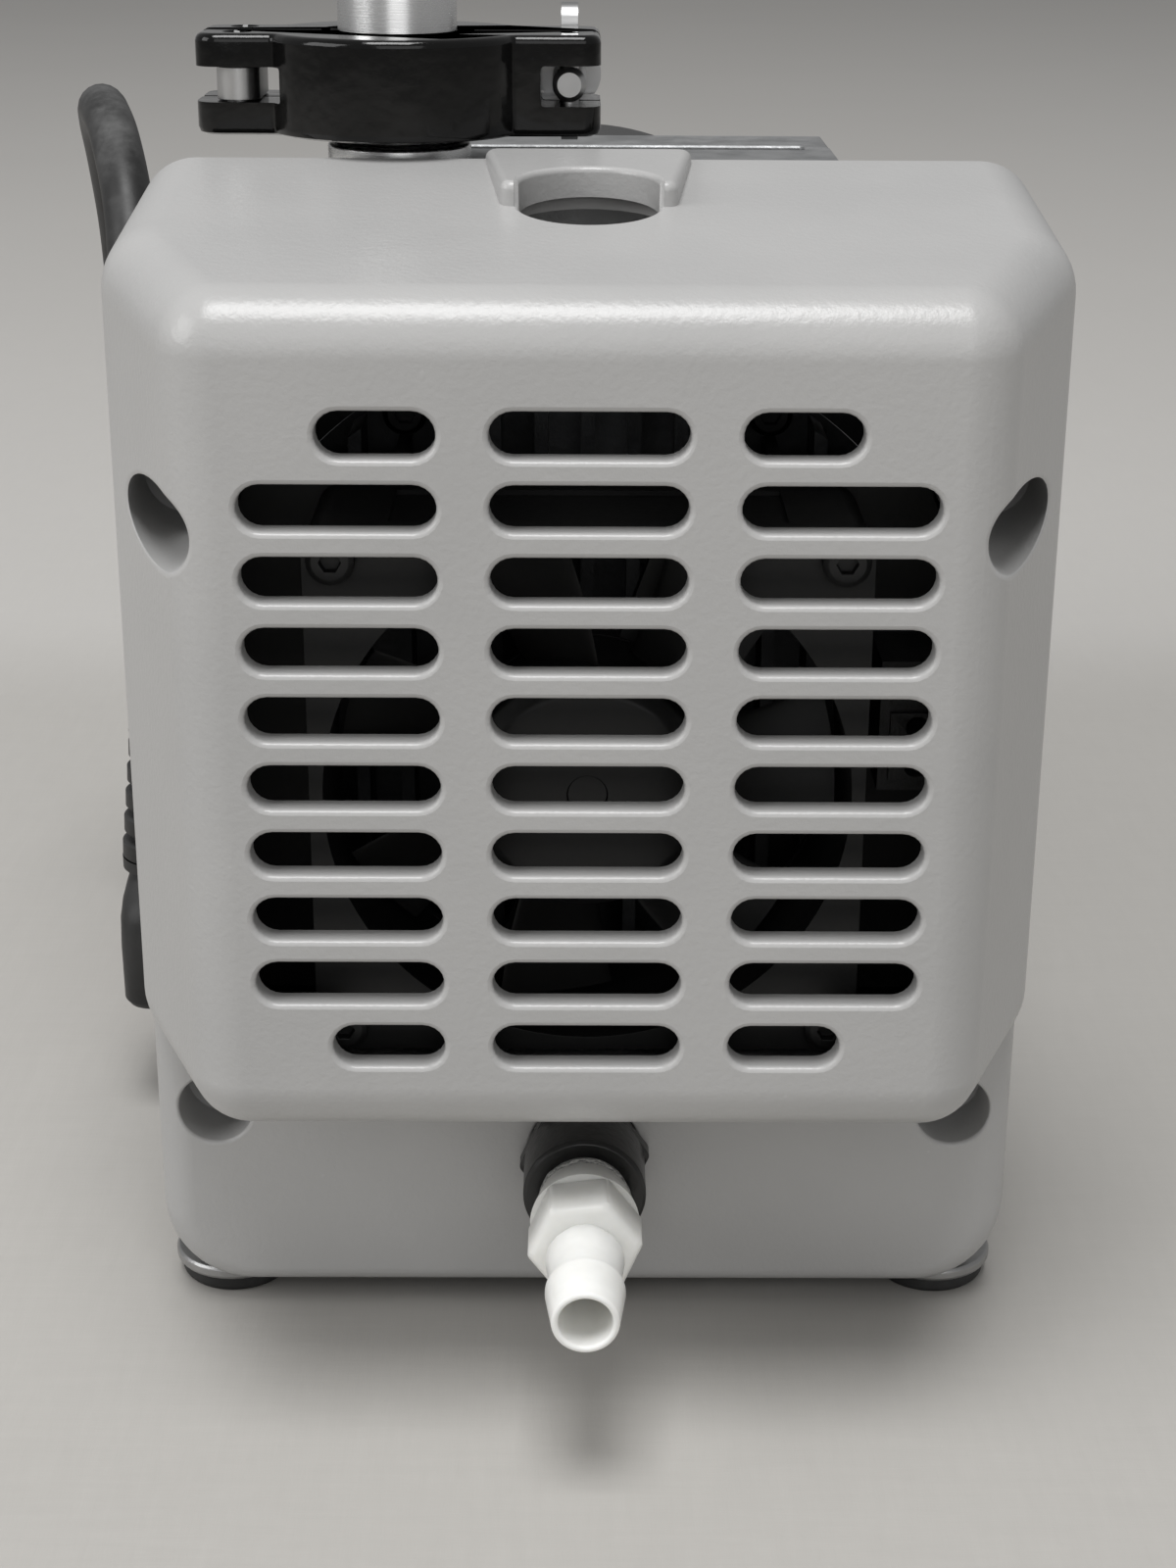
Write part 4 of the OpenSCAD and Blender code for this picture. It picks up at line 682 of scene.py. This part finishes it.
def stock(shape, weld=WELD):
    """A closed shape in mm as a plain object, to be joined or cut."""
    return linked("stock", meshed("stock", shape, weld, True))


def worked(base, steps):
    """The base with each (operation, tool) applied in turn; the tools are used up. Gives the mesh."""
    for operation, tool in steps:
        cut = base.modifiers.new("cut", "BOOLEAN")
        cut.operation, cut.object, cut.solver = operation, tool, "MANIFOLD"
    bpy.context.view_layer.update()
    mesh = bpy.data.meshes.new_from_object(base.evaluated_get(bpy.context.evaluated_depsgraph_get()))
    for tool in [t for _, t in steps] + [base]:
        if tool.name in bpy.data.objects:
            bpy.data.objects.remove(tool)
    return mesh


def flat_shaded(obj):
    """Weights the normals by face size, so that flats stay flat beside their rounded edges."""
    even = obj.modifiers.new("even_normals", "WEIGHTED_NORMAL")
    even.mode = "FACE_AREA"
    even.weight = 60
    even.keep_sharp = True
    return obj


def flared(outline, surface, ease, deep, into=(0, 1, 0), over=3.0):
    """A cutter for a hole with an eased rim. outline(grow) is a ring of points, surface(points) their depth
    along the cut; the rim is a quarter circle of radius ease, from almost flat on the surface to the wall."""
    way = np.array(into, float)
    turns = np.radians([8, 26, 45, 66, 90])
    first, last = outline(ease * (1 - math.sin(turns[0]))), outline(0.0)
    rings = [first + way * (surface(first) - over)[:, None]]
    for t in turns:
        ring = outline(ease * (1 - math.sin(t)))
        rings.append(ring + way * (surface(ring) + ease * (1 - math.cos(t)))[:, None])
    rings.append(last + way * deep)
    return stock(skin(rings), 0.0005)


def circle_outline(x, y, radius, plane="xz", n=64):
    """A ring about (x, y) in the plane of X and height, or of X and depth, that grows by the given amount."""
    def ring(grow):
        a = np.arange(n) / n * TAU
        u, v = x + (radius + grow) * np.cos(a), y + (radius + grow) * np.sin(a)
        return np.column_stack([u, np.zeros(n), v] if plane == "xz" else [u, v, np.zeros(n)])
    return ring


def slot_outline(x, z, length, height, n=12):
    """A stadium: half circles of half the height at both ends."""
    def ring(grow):
        r = height / 2 + grow
        a = np.linspace(-math.pi / 2, math.pi / 2, n)
        reach = (length - height) / 2
        u = np.concatenate([x + reach + r * np.cos(a), x - reach - r * np.cos(a)])
        v = np.concatenate([z + r * np.sin(a), z - r * np.sin(a)])
        return np.column_stack([u, np.zeros(2 * n), v])
    return ring


def inward(ring, by):
    """A closed plan ring moved inward: each point along the mean of its two edge normals."""
    edge = np.roll(ring, -1, 0) - ring
    normal = np.column_stack([-edge[:, 1], edge[:, 0]])
    normal /= np.linalg.norm(normal, axis=1)[:, None] + 1e-12
    mean = normal + np.roll(normal, 1, 0)
    length = np.linalg.norm(mean, axis=1)[:, None]
    return ring + by * 2 * mean / np.maximum(length, 0.8) ** 2


# HOOD: THE NOSE IS ITS UPPER PART, THE SKIRT THE SET-BACK LOWER PART

SIDE, REAR = 70, 74                         # half width, depth
EDGE_R, EDGE_X, EDGE_END = 9, 49.64, 57.92  # front edges: radius, X of the side ones' centre and end
BEVEL_X, BEVEL = 55.6, 2.361                # X where the bevel meets the face, its depth for each mm in X
BEND_D, BEND = 34, 3.0                      # where bevel and side meet, half length of the bend there
ROOF, ROOF_RISE = 175.2, 0.12               # height of the top at the face, rise for each mm of depth
SKIRT_D, SKIRT_R = 37, 6                    # depth of the skirt's face, radius of its side edges
POCKET_X, POCKET_R, POST_R, SCREW_R = 60, 6, 8.4, 2.3
UPPER_Z, LOWER_Z = 142.4, 37.3              # heights of the pockets
HOLE_D, HOLE_R = 47.5, 10.3                 # hole in the top
ROWS, ROW_TOP, ROW_PITCH, SLOT_LENGTH, SLOT_HEIGHT = 10, 157.25, 10, 27, 6.5
EXHAUST_Z = 30


def rounded_rings(depths, half_width, low, high, corner_low, corner_high, n):
    """For each depth a rectangle from -half_width to half_width and from low to high whose corners are arcs."""
    a = np.linspace(0, math.pi / 2, n)
    c, s = np.cos(a), np.sin(a)
    rings = []
    for d, w, b, t, rl, rh in zip(depths, half_width, low, high, corner_low, corner_high):
        x = np.concatenate([w - rh + rh * c, -(w - rh) - rh * s, -(w - rl) - rl * c, w - rl + rl * s])
        z = np.concatenate([t - rh + rh * s, t - rh + rh * c, b + rl - rl * s, b + rl - rl * c])
        rings.append(upright(np.column_stack([x, z]), d))
    return rings


def arc_reach(radius, off):
    """Half a circle's chord at a distance: the root of the radius squared less the distance squared."""
    return np.sqrt(np.maximum(radius ** 2 - off ** 2, 0))


def edge_reach(d):
    """How far the nose's front edge has come out at a depth."""
    return arc_reach(EDGE_R, EDGE_R - np.minimum(d, EDGE_R))


def nose_half_width(d):
    """The edge's arc, the bevel, then the side past a bend: the square of the way left to the bend's end, over
    four times its half length, is how much depth the bevel still lacks."""
    d = np.asarray(d, float)
    w = np.where(d < 5.48, EDGE_X + edge_reach(d), BEVEL_X + d / BEVEL)
    soft = SIDE - (np.maximum(BEND_D + BEND - d, 0)) ** 2 / (4 * BEND) / BEVEL
    return np.where(d > BEND_D - BEND, soft, w)


def roof(d):
    """The hood's sloping top away from its rounded front edge."""
    return ROOF + ROOF_RISE * np.asarray(d, float)


def nose_top(d):
    """The edge's arc, then the straight rise."""
    d = np.asarray(d, float)
    return np.where(d < 7.93, 167.2 + edge_reach(d), roof(d))


def nose_low(d):
    """The nose's underside: the edge's arc, then level at 51.5."""
    return 60.5 - edge_reach(np.asarray(d, float))


def hood_nose():
    """Rings whose corners follow the edge: the radius times the sine of the angle reached on its arc."""
    t = np.radians(np.linspace(0, 90, 15))
    d = np.concatenate([EDGE_R * (1 - np.cos(t)), [14, 20, 26, 31], np.linspace(32, 37, 6), [46, 60, REAR]])
    r = EDGE_R * np.sin(np.minimum(np.arccos(np.clip(1 - d / EDGE_R, -1, 1)), math.pi / 2))
    r = np.where(d >= EDGE_R, EDGE_R, r)
    return stock(skin(rounded_rings(d, nose_half_width(d), nose_low(d), nose_top(d), r, r, 12)))


def hood_skirt():
    """Sides drawn in by an arc of 6 and the bottom by an arc of 3 over the first millimetres of depth."""
    t = np.radians(np.linspace(0, 90, 12))
    d = np.concatenate([SKIRT_D + SKIRT_R * (1 - np.cos(t)), [50, 62, REAR]])
    side = np.where(d < 43, SKIRT_R - arc_reach(SKIRT_R, 43 - d), 0)
    foot = np.where(d < 40, 3 - arc_reach(3, 40 - d), 0)
    none = np.full(len(d), 0.01)
    ring = rounded_rings(d, SIDE - side, 4.5 + foot, np.full(len(d), 64.0), 14 - side * 0.6, none, 12)
    return stock(skin(ring))


def hood_room():
    """The space inside the hood: its wall is 4 thick, and the posts of the screw pockets stand in it."""
    wall = 4.0
    d = np.array([4.0, 5, 7, 10, 13, 20, 28, 34, 38, 50, 62, 76])
    w = nose_half_width(np.maximum(d - 3, 0.2)) - wall
    r = np.clip(d - wall, 0.4, 5)
    front = np.maximum(d - wall, 0.4)
    upper = stock(skin(rounded_rings(d, w, nose_low(front) + wall, nose_top(front) - 3.6, r, r, 6)))
    d = np.array([41.0, 43, 46, 50, 62, 76])
    side = np.array([5, 2.6, 0.8, 0, 0, 0.0])
    floor, top, low_r, top_r = 8.5 + side * 0.4, np.full(6, 62.0), np.full(6, 9.0), np.full(6, 0.3)
    steps = [("UNION", stock(skin(rounded_rings(d, SIDE - wall - side, floor, top, low_r, top_r, 6))))]
    for s in (-POCKET_X, POCKET_X):
        for z, start, end in ((UPPER_Z, 2, 44), (LOWER_Z, 38, 52)):
            steps.append(("DIFFERENCE", stock(rod(POST_R, start, end, (s, 0, z)))))
    return linked("stock", worked(upper, steps))


def pad_top(d):
    """The pad is 3.6 high at its front and rises by 0.057, so it sinks towards the hood's top to the rear."""
    return 184.3 + 0.057 * (np.asarray(d, float) - 46)


def hood_pad():
    """A low pad, wider to the rear; its edges are quarter circles of radius 1.3."""
    flat = rounded_line([[-12.9, 46.2], [12.9, 46.2], [16.2, 74], [-16.2, 74]], [1.7, 1.7, 2.2, 2.2], 7, True)
    rings = [np.column_stack([flat, roof(flat[:, 1]) - 3])]
    for t in np.radians(np.linspace(0, 90, 6)):
        edge = inward(flat, 1.3 * (1 - math.cos(t)))
        rings.append(np.column_stack([edge, pad_top(edge[:, 1]) - 1.3 * (1 - math.sin(t))]))
    return stock(skin(rings))


def nose_face(p):
    """Depth of the nose's front at points: level, then the edge's arc, then the bevel."""
    x = np.abs(p[:, 0])
    arc = EDGE_R - arc_reach(EDGE_R, np.clip(x - EDGE_X, 0, EDGE_END - EDGE_X))
    return np.where(x < EDGE_END, arc, (x - BEVEL_X) * BEVEL)


def skirt_face(p):
    """Depth of the skirt's front at points: level, then the arc of its side edge."""
    return SKIRT_D + SKIRT_R - arc_reach(SKIRT_R, np.clip(np.abs(p[:, 0]) - (SIDE - SKIRT_R), 0, 5.9))


def pad_face(p):
    """The top at points, with the pad, as a depth downward."""
    y = p[:, 1]
    return -(roof(y) + (pad_top(y) - roof(y)) * np.clip((y - 46.6) / 0.6, 0, 1))


def make_hood():
    """The nose with skirt and pad; room, open bottom, pockets, slots and the round holes are cut out."""
    tools = [stock(bar_block(-56, 56, 41, 76, -1, 30, 0.3))]
    for s in (-1, 1):
        x = s * POCKET_X
        tools.append(stock(bar_block(s * SIDE - 20, s * SIDE + 20, 41, 76, -1, 9, 0.3)))
        tools.append(flared(circle_outline(x, UPPER_Z, POCKET_R), nose_face, 0.7, 40, over=8))
        tools.append(flared(circle_outline(x, LOWER_Z, POCKET_R), skirt_face, 0.7, 48))
        for z in (UPPER_Z, LOWER_Z):
            tools.append(stock(rod(SCREW_R, 20, 56, (x, 0, z), n=24)))
    for row in range(ROWS):
        z = ROW_TOP - ROW_PITCH * row
        tools.append(flared(slot_outline(0, z, SLOT_LENGTH, SLOT_HEIGHT), nose_face, 0.9, 6))
        length = SLOT_LENGTH * (0.6 if row in (0, ROWS - 1) else 1)
        for s in (-1, 1):
            side_slot = slot_outline(s * (20.5 + length / 2), z, length, SLOT_HEIGHT)
            tools.append(flared(side_slot, nose_face, 0.9, 6))
    tools.append(flared(circle_outline(0, HOLE_D, HOLE_R, "xy"), pad_face, 0.9, -160, (0, 0, -1)))
    points, faces = rod(13, 150, 179.3, (0, HOLE_D, 0), "z", 64)
    points[:, 2] += ROOF_RISE * (points[:, 1] - HOLE_D)
    tools.append(stock((points, faces)))
    tools.append(flared(circle_outline(0, EXHAUST_Z, 9), skirt_face, 0.6, 45))
    steps = [("UNION", hood_skirt()), ("UNION", hood_pad()), ("DIFFERENCE", hood_room())]
    mesh = cleaned(worked(hood_nose(), steps + [("DIFFERENCE", tool) for tool in tools]), WELD, flat=0.2)
    flat_shaded(shown("moulded_hood", mesh, HOOD, "front_cover", 36))


make_hood()


# INLET AND ITS CLAMP

INLET_X, INLET_D = -30.5, 92
JOINT = 194.25           # height of the clamped joint
SWING_X, SWING_D = -3, 87.5


def clamp_half(side):
    """Half of the clamp's plan, eased along its top and bottom, with bore, groove, slots and pin holes cut out.
    side is -1 for the front half and 1 for the rear half."""
    gap, outer, ear_left, ear_right = 0.6, 21.5, 10, 10.5
    a = np.linspace(math.pi + math.asin(ear_left / outer), TAU - math.asin(ear_right / outer), 40)[1:-1]
    arc = np.column_stack([INLET_X + outer * np.cos(a), outer * np.sin(a)])
    line = np.concatenate([[[-62, -gap], [-62, -ear_left], [INLET_X - 19.03, -ear_left]], arc,
            [[INLET_X + 18.76, -ear_right], [2, -ear_right], [2, -gap]]])
    plan = rounded_line(line, [0.8, 3.6, 2.2] + [0] * len(arc) + [2.2, 3.0, 0.8], 6, True)
    top = JOINT + 7.75
    low = 2 * JOINT - top
    rings = []
    for z, inset in ((low, 1.2), (low + 0.35, 0.35), (low + 1.2, 0), (top - 1.3, 0), (top - 0.75, 0.14),
            (top - 0.3, 0.46), (top - 0.06, 0.9), (top, 1.4)):
        ring = inward(plan, inset)
        ring[:, 1] = np.minimum(ring[:, 1], -gap)
        rings.append(np.column_stack([ring[:, 0], INLET_D - side * ring[:, 1], np.full(len(ring), z)]))
    body = stock(skin(rings), 0.001)
    groove = [(0, -9), (12.6, -9), (11.9, -7.0), (11.9, -6.5), (15.3, -3.15), (15.3, 3.15), (11.9, 6.5),
            (11.9, 6.9), (12.1, 7.4), (12.6, 7.78), (12.6, 9), (0, 9)]
    pin_hole = [(0, -9), (2.02, -9), (2.02, 7.4), (2.5, 7.9), (2.5, 9), (0, 9)]
    shapes = [turned(groove, (INLET_X, INLET_D, JOINT), "z", 72),
            bar_block(-64, -47.5, 80, 104, JOINT - 2.7, JOINT + 2.7, 0.6),
            bar_block(-7.5, 4, 80, 104, JOINT - 3.1, JOINT + 3.1, 0.6),
            turned(pin_hole, (-55.5, 86.5, JOINT), "z", 32),
            turned(pin_hole, (-55.5, 97.5, JOINT), "z", 32),
            rod(1.52, -9, 9, (SWING_X, SWING_D, JOINT), "z", 32)]
    mesh = worked(body, [("DIFFERENCE", stock(shape)) for shape in shapes])
    name = "front" if side < 0 else "rear"
    flat_shaded(shown("clamp_%s_half" % name, mesh, BLACK_PAINT, "clamp_" + name, 40))


for side in (-1, 1):
    clamp_half(side)


def make_inlet():
    """The tube above the joint and the neck below it, both turned about the inlet's axis."""
    tube_wall = closed_profile([(8, 216.25), (9.5, 216.25), (9.5, 200.6), (10.4, 200.45), (14.2, 197.25),
            (15, 197.1), (15, 194.5), (8.7, 194.5), (8.7, 196.4), (8, 196.4)],
            [0.4, 0.5, 1.2, 0.3, 0.3, 0.4, 0.3, 0.1, 0, 0.3])
    neck = closed_profile([(8, 168.5), (9.9, 168.5), (9.9, 180.5), (11.6, 180.5), (11.6, 184.5), (9.9, 184.6),
            (9.9, 187.6), (10.4, 188.1), (14.2, 191.25), (15, 191.35), (15, 194), (8.7, 194),
            (8.7, 192.1), (8, 192.05)],
            [0.2, 0.3, 0, 0.3, 0.6, 0.9, 0.6, 0.3, 0.3, 0.3, 0.4, 0.3, 0.1, 0.2])
    axis = (INLET_X, INLET_D, 0)
    piece("inlet_tube_wall", turned(tube_wall, axis, "z", 96), TUBE_STEEL, "inlet_tube", smooth=35)
    piece("inlet_neck", turned(neck, axis, "z", 96), TUBE_STEEL, "inlet_port", smooth=35)


make_inlet()


def make_swing_bolt():
    """The bolt's end shows in the open fork: blunt thread ridges 0.8 apart and 0.22 high, and a cross pin."""
    def ridges(start, stop):
        ridge = (0, 2.48), (0.22, 2.7), (0.42, 2.7), (0.64, 2.48)
        return [(r, d + step) for d in np.arange(start, stop, 0.8) for step, r in ridge]
    outline = ([(0, 84.2), (1.9, 84.2), (2.3, 84.5)] + ridges(84.7, 86.5) + [(2.7, 87), (2.7, 103)]
            + ridges(103.2, 115) + [(2.1, 115.9), (0, 116)])
    low, top = JOINT - 7.45, JOINT + 7.45
    pin = rounded_line([[0, low], [1.5, low], [1.5, top], [0, top]], 0.3, 4)
    shape = joined(turned(outline, (SWING_X, 0, JOINT), "y", 48), turned(pin, (SWING_X, SWING_D, 0), "z", 32))
    piece("swing_bolt", shape, BOLT_STEEL, "clamp_bolt", 30)


make_swing_bolt()


# FEET

def make_feet():
    """Grey discs with a rounded rim over black rubber rings that widen a little to the bench."""
    cups, pads = [], []
    disc = closed_profile([(2.3, 2.85), (10.0, 2.85), (10.3, 3.4), (10.3, 4.5), (9.9, 5), (2.3, 5)],
            [0.1, 0.3, 0.4, 0.4, 0.3, 0.1])
    ring = closed_profile([(4.6, 0), (8.7, 0), (9.35, 0.7), (9.2, 2.8), (2.3, 2.8), (2.3, 1.9), (4.6, 1.9)],
            [0.3, 0.5, 0.6, 0.2, 0.1, 0.1, 0.2])
    for x in (-59.5, 59.5):
        for d in (51, 328):
            cups.append(turned(disc, (x, d, 0), "z", 64))
            pads.append(turned(ring, (x, d, 0), "z", 64))
    piece("foot_discs", joined(*cups), FOOT_ALLOY, "foot_cups", smooth=40)
    piece("foot_rubbers", joined(*pads), FOOT_RUBBER, "foot_pads", smooth=40)


make_feet()


# EXHAUST

def nut(across, turn, d0, d1, bevel):
    """A hexagon with round corners along the depth; a cone caps its radius at both ends."""
    a, corner = np.radians(turn + np.arange(6) * 60), across / math.sqrt(3)
    base = rounded_line(np.column_stack([corner * np.cos(a), corner * np.sin(a)]), 1.4, 7, True)
    r = np.linalg.norm(base, axis=1)
    end, cone = across / 2 - 0.2, across / 2 + 0.405
    rings = [upright(base * (np.minimum(r, cap) / r)[:, None], d) + [0, 0, EXHAUST_Z]
            for d, cap in ((d0, end), (d0 + bevel * 0.4, cone), (d0 + bevel, across),
            (d1 - bevel, across), (d1 - bevel * 0.4, cone), (d1, end))]
    return skin(rings)


def make_exhaust():
    """The milky barb, the thread sealant and the dark fitting."""
    axis = (0, 0, EXHAUST_Z)
    barb = closed_profile([(4, -14.5), (5.0, -14.5), (6, -6.6), (6, -5.9), (5.1, -5.5), (6, 2.4), (6, 2.9),
            (5.0, 3.4), (5.0, 14.5), (6.07, 16), (6.07, 33), (4, 33)],
            [0.5, 0.6, 0.4, 0.3, 0.3, 0.4, 0.3, 0.4, 0, 0, 0.3, 0.3])
    shoulder = [(5.4, 13.9), (8.5, 14), (8.3, 15), (7.3, 19.6), (7.0, 20), (5.4, 20.2), (5.4, 13.9)]
    socket = closed_profile([(6.5, 22), (9.2, 22), (9.75, 22.6), (9.75, 32.6), (6.5, 32.6)],
            [0.5, 0.4, 0.4, 0.3, 0])
    hexagon = worked(stock(nut(15.6, 7, 5, 14.2, 1.1)), [("DIFFERENCE", stock(rod(4.6, 0, 20, axis)))])
    shown("barb_hexagon", hexagon, NYLON, "hose_barb", 40)
    for name, profile, finish, node in (("barb_stem", barb, NYLON, "hose_barb"),
            ("barb_shoulder", shoulder, NYLON, "hose_barb"),
            ("fitting_socket", socket, ELBOW_BLACK, "exhaust_elbow")):
        piece(name, turned(profile, axis, "y", 64), finish, node, smooth=35)
    arc = np.radians(np.linspace(0, 90, 12))[1:]
    bend = [[0, 36.2, 30], [0, 44, 30]] + [[0, 44 + 8 * math.sin(t), 38 - 8 * math.cos(t)] for t in arc]
    for name, shape in (("fitting_hexagon", nut(18.6, 6, 32.4, 36.7, 0.9)),
            ("fitting_bend", tube(bend, 8.0, 48)),
            ("fitting_nipple", rod(5.97, 38, 48, (0, 52, 0), "z"))):
        piece(name, shape, ELBOW_BLACK, "exhaust_elbow", smooth=40)
    seal = closed_profile([(6.1, 20.2), (6.45, 20.1), (7.1, 21.2), (6.9, 22.1), (6.45, 23.9), (6.1, 23.9)],
            [0.1, 0.3, 0.3, 0.2, 0.1, 0])
    points, faces = turned(seal, axis, "y", 72)
    x, d, z = points[:, 0], points[:, 1], points[:, 2] - EXHAUST_Z
    a = np.arctan2(z, x)
    swell = 0.028 * np.sin(5 * a + 1) + 0.02 * np.sin(11 * a)
    out = 1 + np.clip((22.0 - d) / 1.5, 0, 1) * (swell + 0.03)
    film = np.column_stack([x * out, d, EXHAUST_Z + z * out])
    piece("sealant_film", (film, faces), SEALANT, "thread_seal", smooth=60)


make_exhaust()


# FAN AND WHAT SITS BEHIND THE GRILLE

FAN_Z = 102


def blade(base):
    """The chord turns from 50 degrees at the hub to 33 at the tip, a little cambered."""
    u = np.linspace(0, 1, 14)[:, None]
    loop = np.arange(28) / 28 * TAU
    across, thick = np.cos(loop)[None, :], np.sin(loop)[None, :]
    radius = 17.2 + 19.3 * u + 0 * across
    turn = np.radians(50 - 17 * u)
    wall = (1.5 - 0.6 * u) * np.abs(thick) ** 0.3 * 0.8
    s = (8.6 + 1.6 * u) * across
    lift = wall * thick + 1.3 * (1 - across ** 2)
    along = s * np.cos(turn) - lift * np.sin(turn)
    depth = s * np.sin(turn) * 0.82 + lift * np.cos(turn)
    angle = base + along / radius + 0.10 * u
    radius = np.minimum(radius, 36.6)
    return skin(np.stack([radius * np.cos(angle), 21.6 + depth, FAN_Z + radius * np.sin(angle)], -1))


def make_fan():
    """Seven blades, the hub's cup and its spindle."""
    axis = (0, 0, FAN_Z)
    hub = closed_profile([(3, 11.6), (15.5, 11.5), (18, 13.4), (18, 31.4), (16.2, 31.4), (16.2, 14), (3, 14)],
            [0, 1.5, 1.6, 0.3, 0.3, 0.8, 0])
    spindle = [(0, 12), (2.8, 12), (3, 12.3), (3, 33.6), (0, 34)]
    parts = [blade(k / 7 * TAU) for k in range(7)]
    parts += [turned(hub, axis, "y", 72), turned(spindle, axis, "y", 32)]
    piece("fan_wheel", joined(*parts), FAN_BLACK, "fan_rotor", 45)


make_fan()

eased("fan_frame", FAN_BLACK, 0.5)
eased("terminal_block", BLOCK_BLACK, 0.35)
eased("fan_bracket", BLACK_SHEET, 0.3)
eased("front_frame", BLACK_SHEET, 0.3)
eased("fan_screws", BLACK_SHEET, 0.2)
eased("cover_screws", DARK_STEEL, 0.25)
eased("foot_screws", SCREW_STEEL, 0.2)
eased("clamp_links", BOLT_STEEL, 0.5, 3)
eased("link_pins", BOLT_STEEL, 0.4, 3)
eased("wing_nut", BOLT_STEEL, 0.6, 3)
eased("base_plate", ZINC, 0.4)
joint_groove = bar_block(-37.5, 37.5, 116.6, 122.6, 178.6, 184, 0.8)
eased("pump_housing", CASTING, 0.6, cuts=[joint_groove])
eased("bell_housing", CASTING, 0.6, cuts=[joint_groove])
eased("motor_housing", MOTOR_PAINT, 0.5)
eased("end_bell", MOTOR_PAINT, 0.5)
eased("rear_cover", COVER_BLACK, 0.7, 3)
eased("control_box", BOX_PAINT, 0.7, 3)
eased("box_panel", ZINC, 0.25)
eased("power_inlet", BLOCK_BLACK, 0.4)
eased("switch_frame", COVER_BLACK, 0.3)
eased("rocker_switch", SWITCH_RED, 0.5, 3, 20)
eased("cover_rear_screws", SCREW_STEEL, 0.2)
# The fixed scroll takes the near-black copy of the alloy, which paints the shade behind the grille.
for finish, nodes in ((SCROLL_PAINTED_SHADE, ("fixed_scroll",)), (DARK_STEEL, ("scroll_screws",)),
        (TIP_SEAL, ("fixed_tip_seal", "orbit_tip_seal")), (SCROLL_ALLOY, ("orbiting_scroll",)),
        (RACE_STEEL, ("orbit_bearing", "front_bearing", "rear_bearing")),
        (BOLT_STEEL, ("crankshaft", "crank_a", "crank_b", "crank_c", "centring_ring")),
        (BRASS, ("counterweight",)), (FOOT_RUBBER, ("o_ring",)), (COPPER, ("stator_windings",)),
        (CORE, ("stator_core", "motor_rotor")), (FAN_BLACK, ("rear_fan",))):
    for node in nodes:
        coated(node, finish)


# BENCH AND LIGHT

def make_bench():
    """One flat bench that runs out of sight; its tone changes behind the pump as the photograph's wall does."""
    corners = [(-9, -9, 0), (9, -9, 0), (9, 9, 0), (-9, 9, 0)]
    mesh = bpy.data.meshes.new("bench")
    mesh.from_pydata(corners, [], [(0, 1, 2, 3)])
    mesh.materials.append(bench_top())
    linked("bench", mesh)


def soft_lamp(name, at, aim, size, power):
    """A square area lamp at a point in metres, turned towards its aim."""
    data = bpy.data.lights.new(name, "AREA")
    data.shape, data.size, data.energy = "SQUARE", size, power
    lamp = linked(name, data)
    way = Vector(aim) - Vector(at)
    lamp.matrix_world = Matrix.Translation(Vector(at)) @ way.to_track_quat("-Z", "Y").to_matrix().to_4x4()


make_bench()
soft_lamp("ceiling", (-0.15, -0.8, 3.0), (0, 0, 0.1), 1.35, 70)
soft_lamp("left_window", (-1.3, -0.6, 0.9), (0, -0.1, 0.1), 0.9, 8)
soft_lamp("front_fill", (0.1, -1.5, 0.75), (0, 0, 0.1), 1.0, 3.5)
world = bpy.data.worlds.new("room")
world.use_nodes = True
sky = world.node_tree.nodes["Background"]
sky.inputs[0].default_value = (1.0, 1.0, 1.0, 1)
sky.inputs[1].default_value = 0.28
bpy.context.scene.world = world
bpy.context.scene.view_settings.view_transform = "Standard"
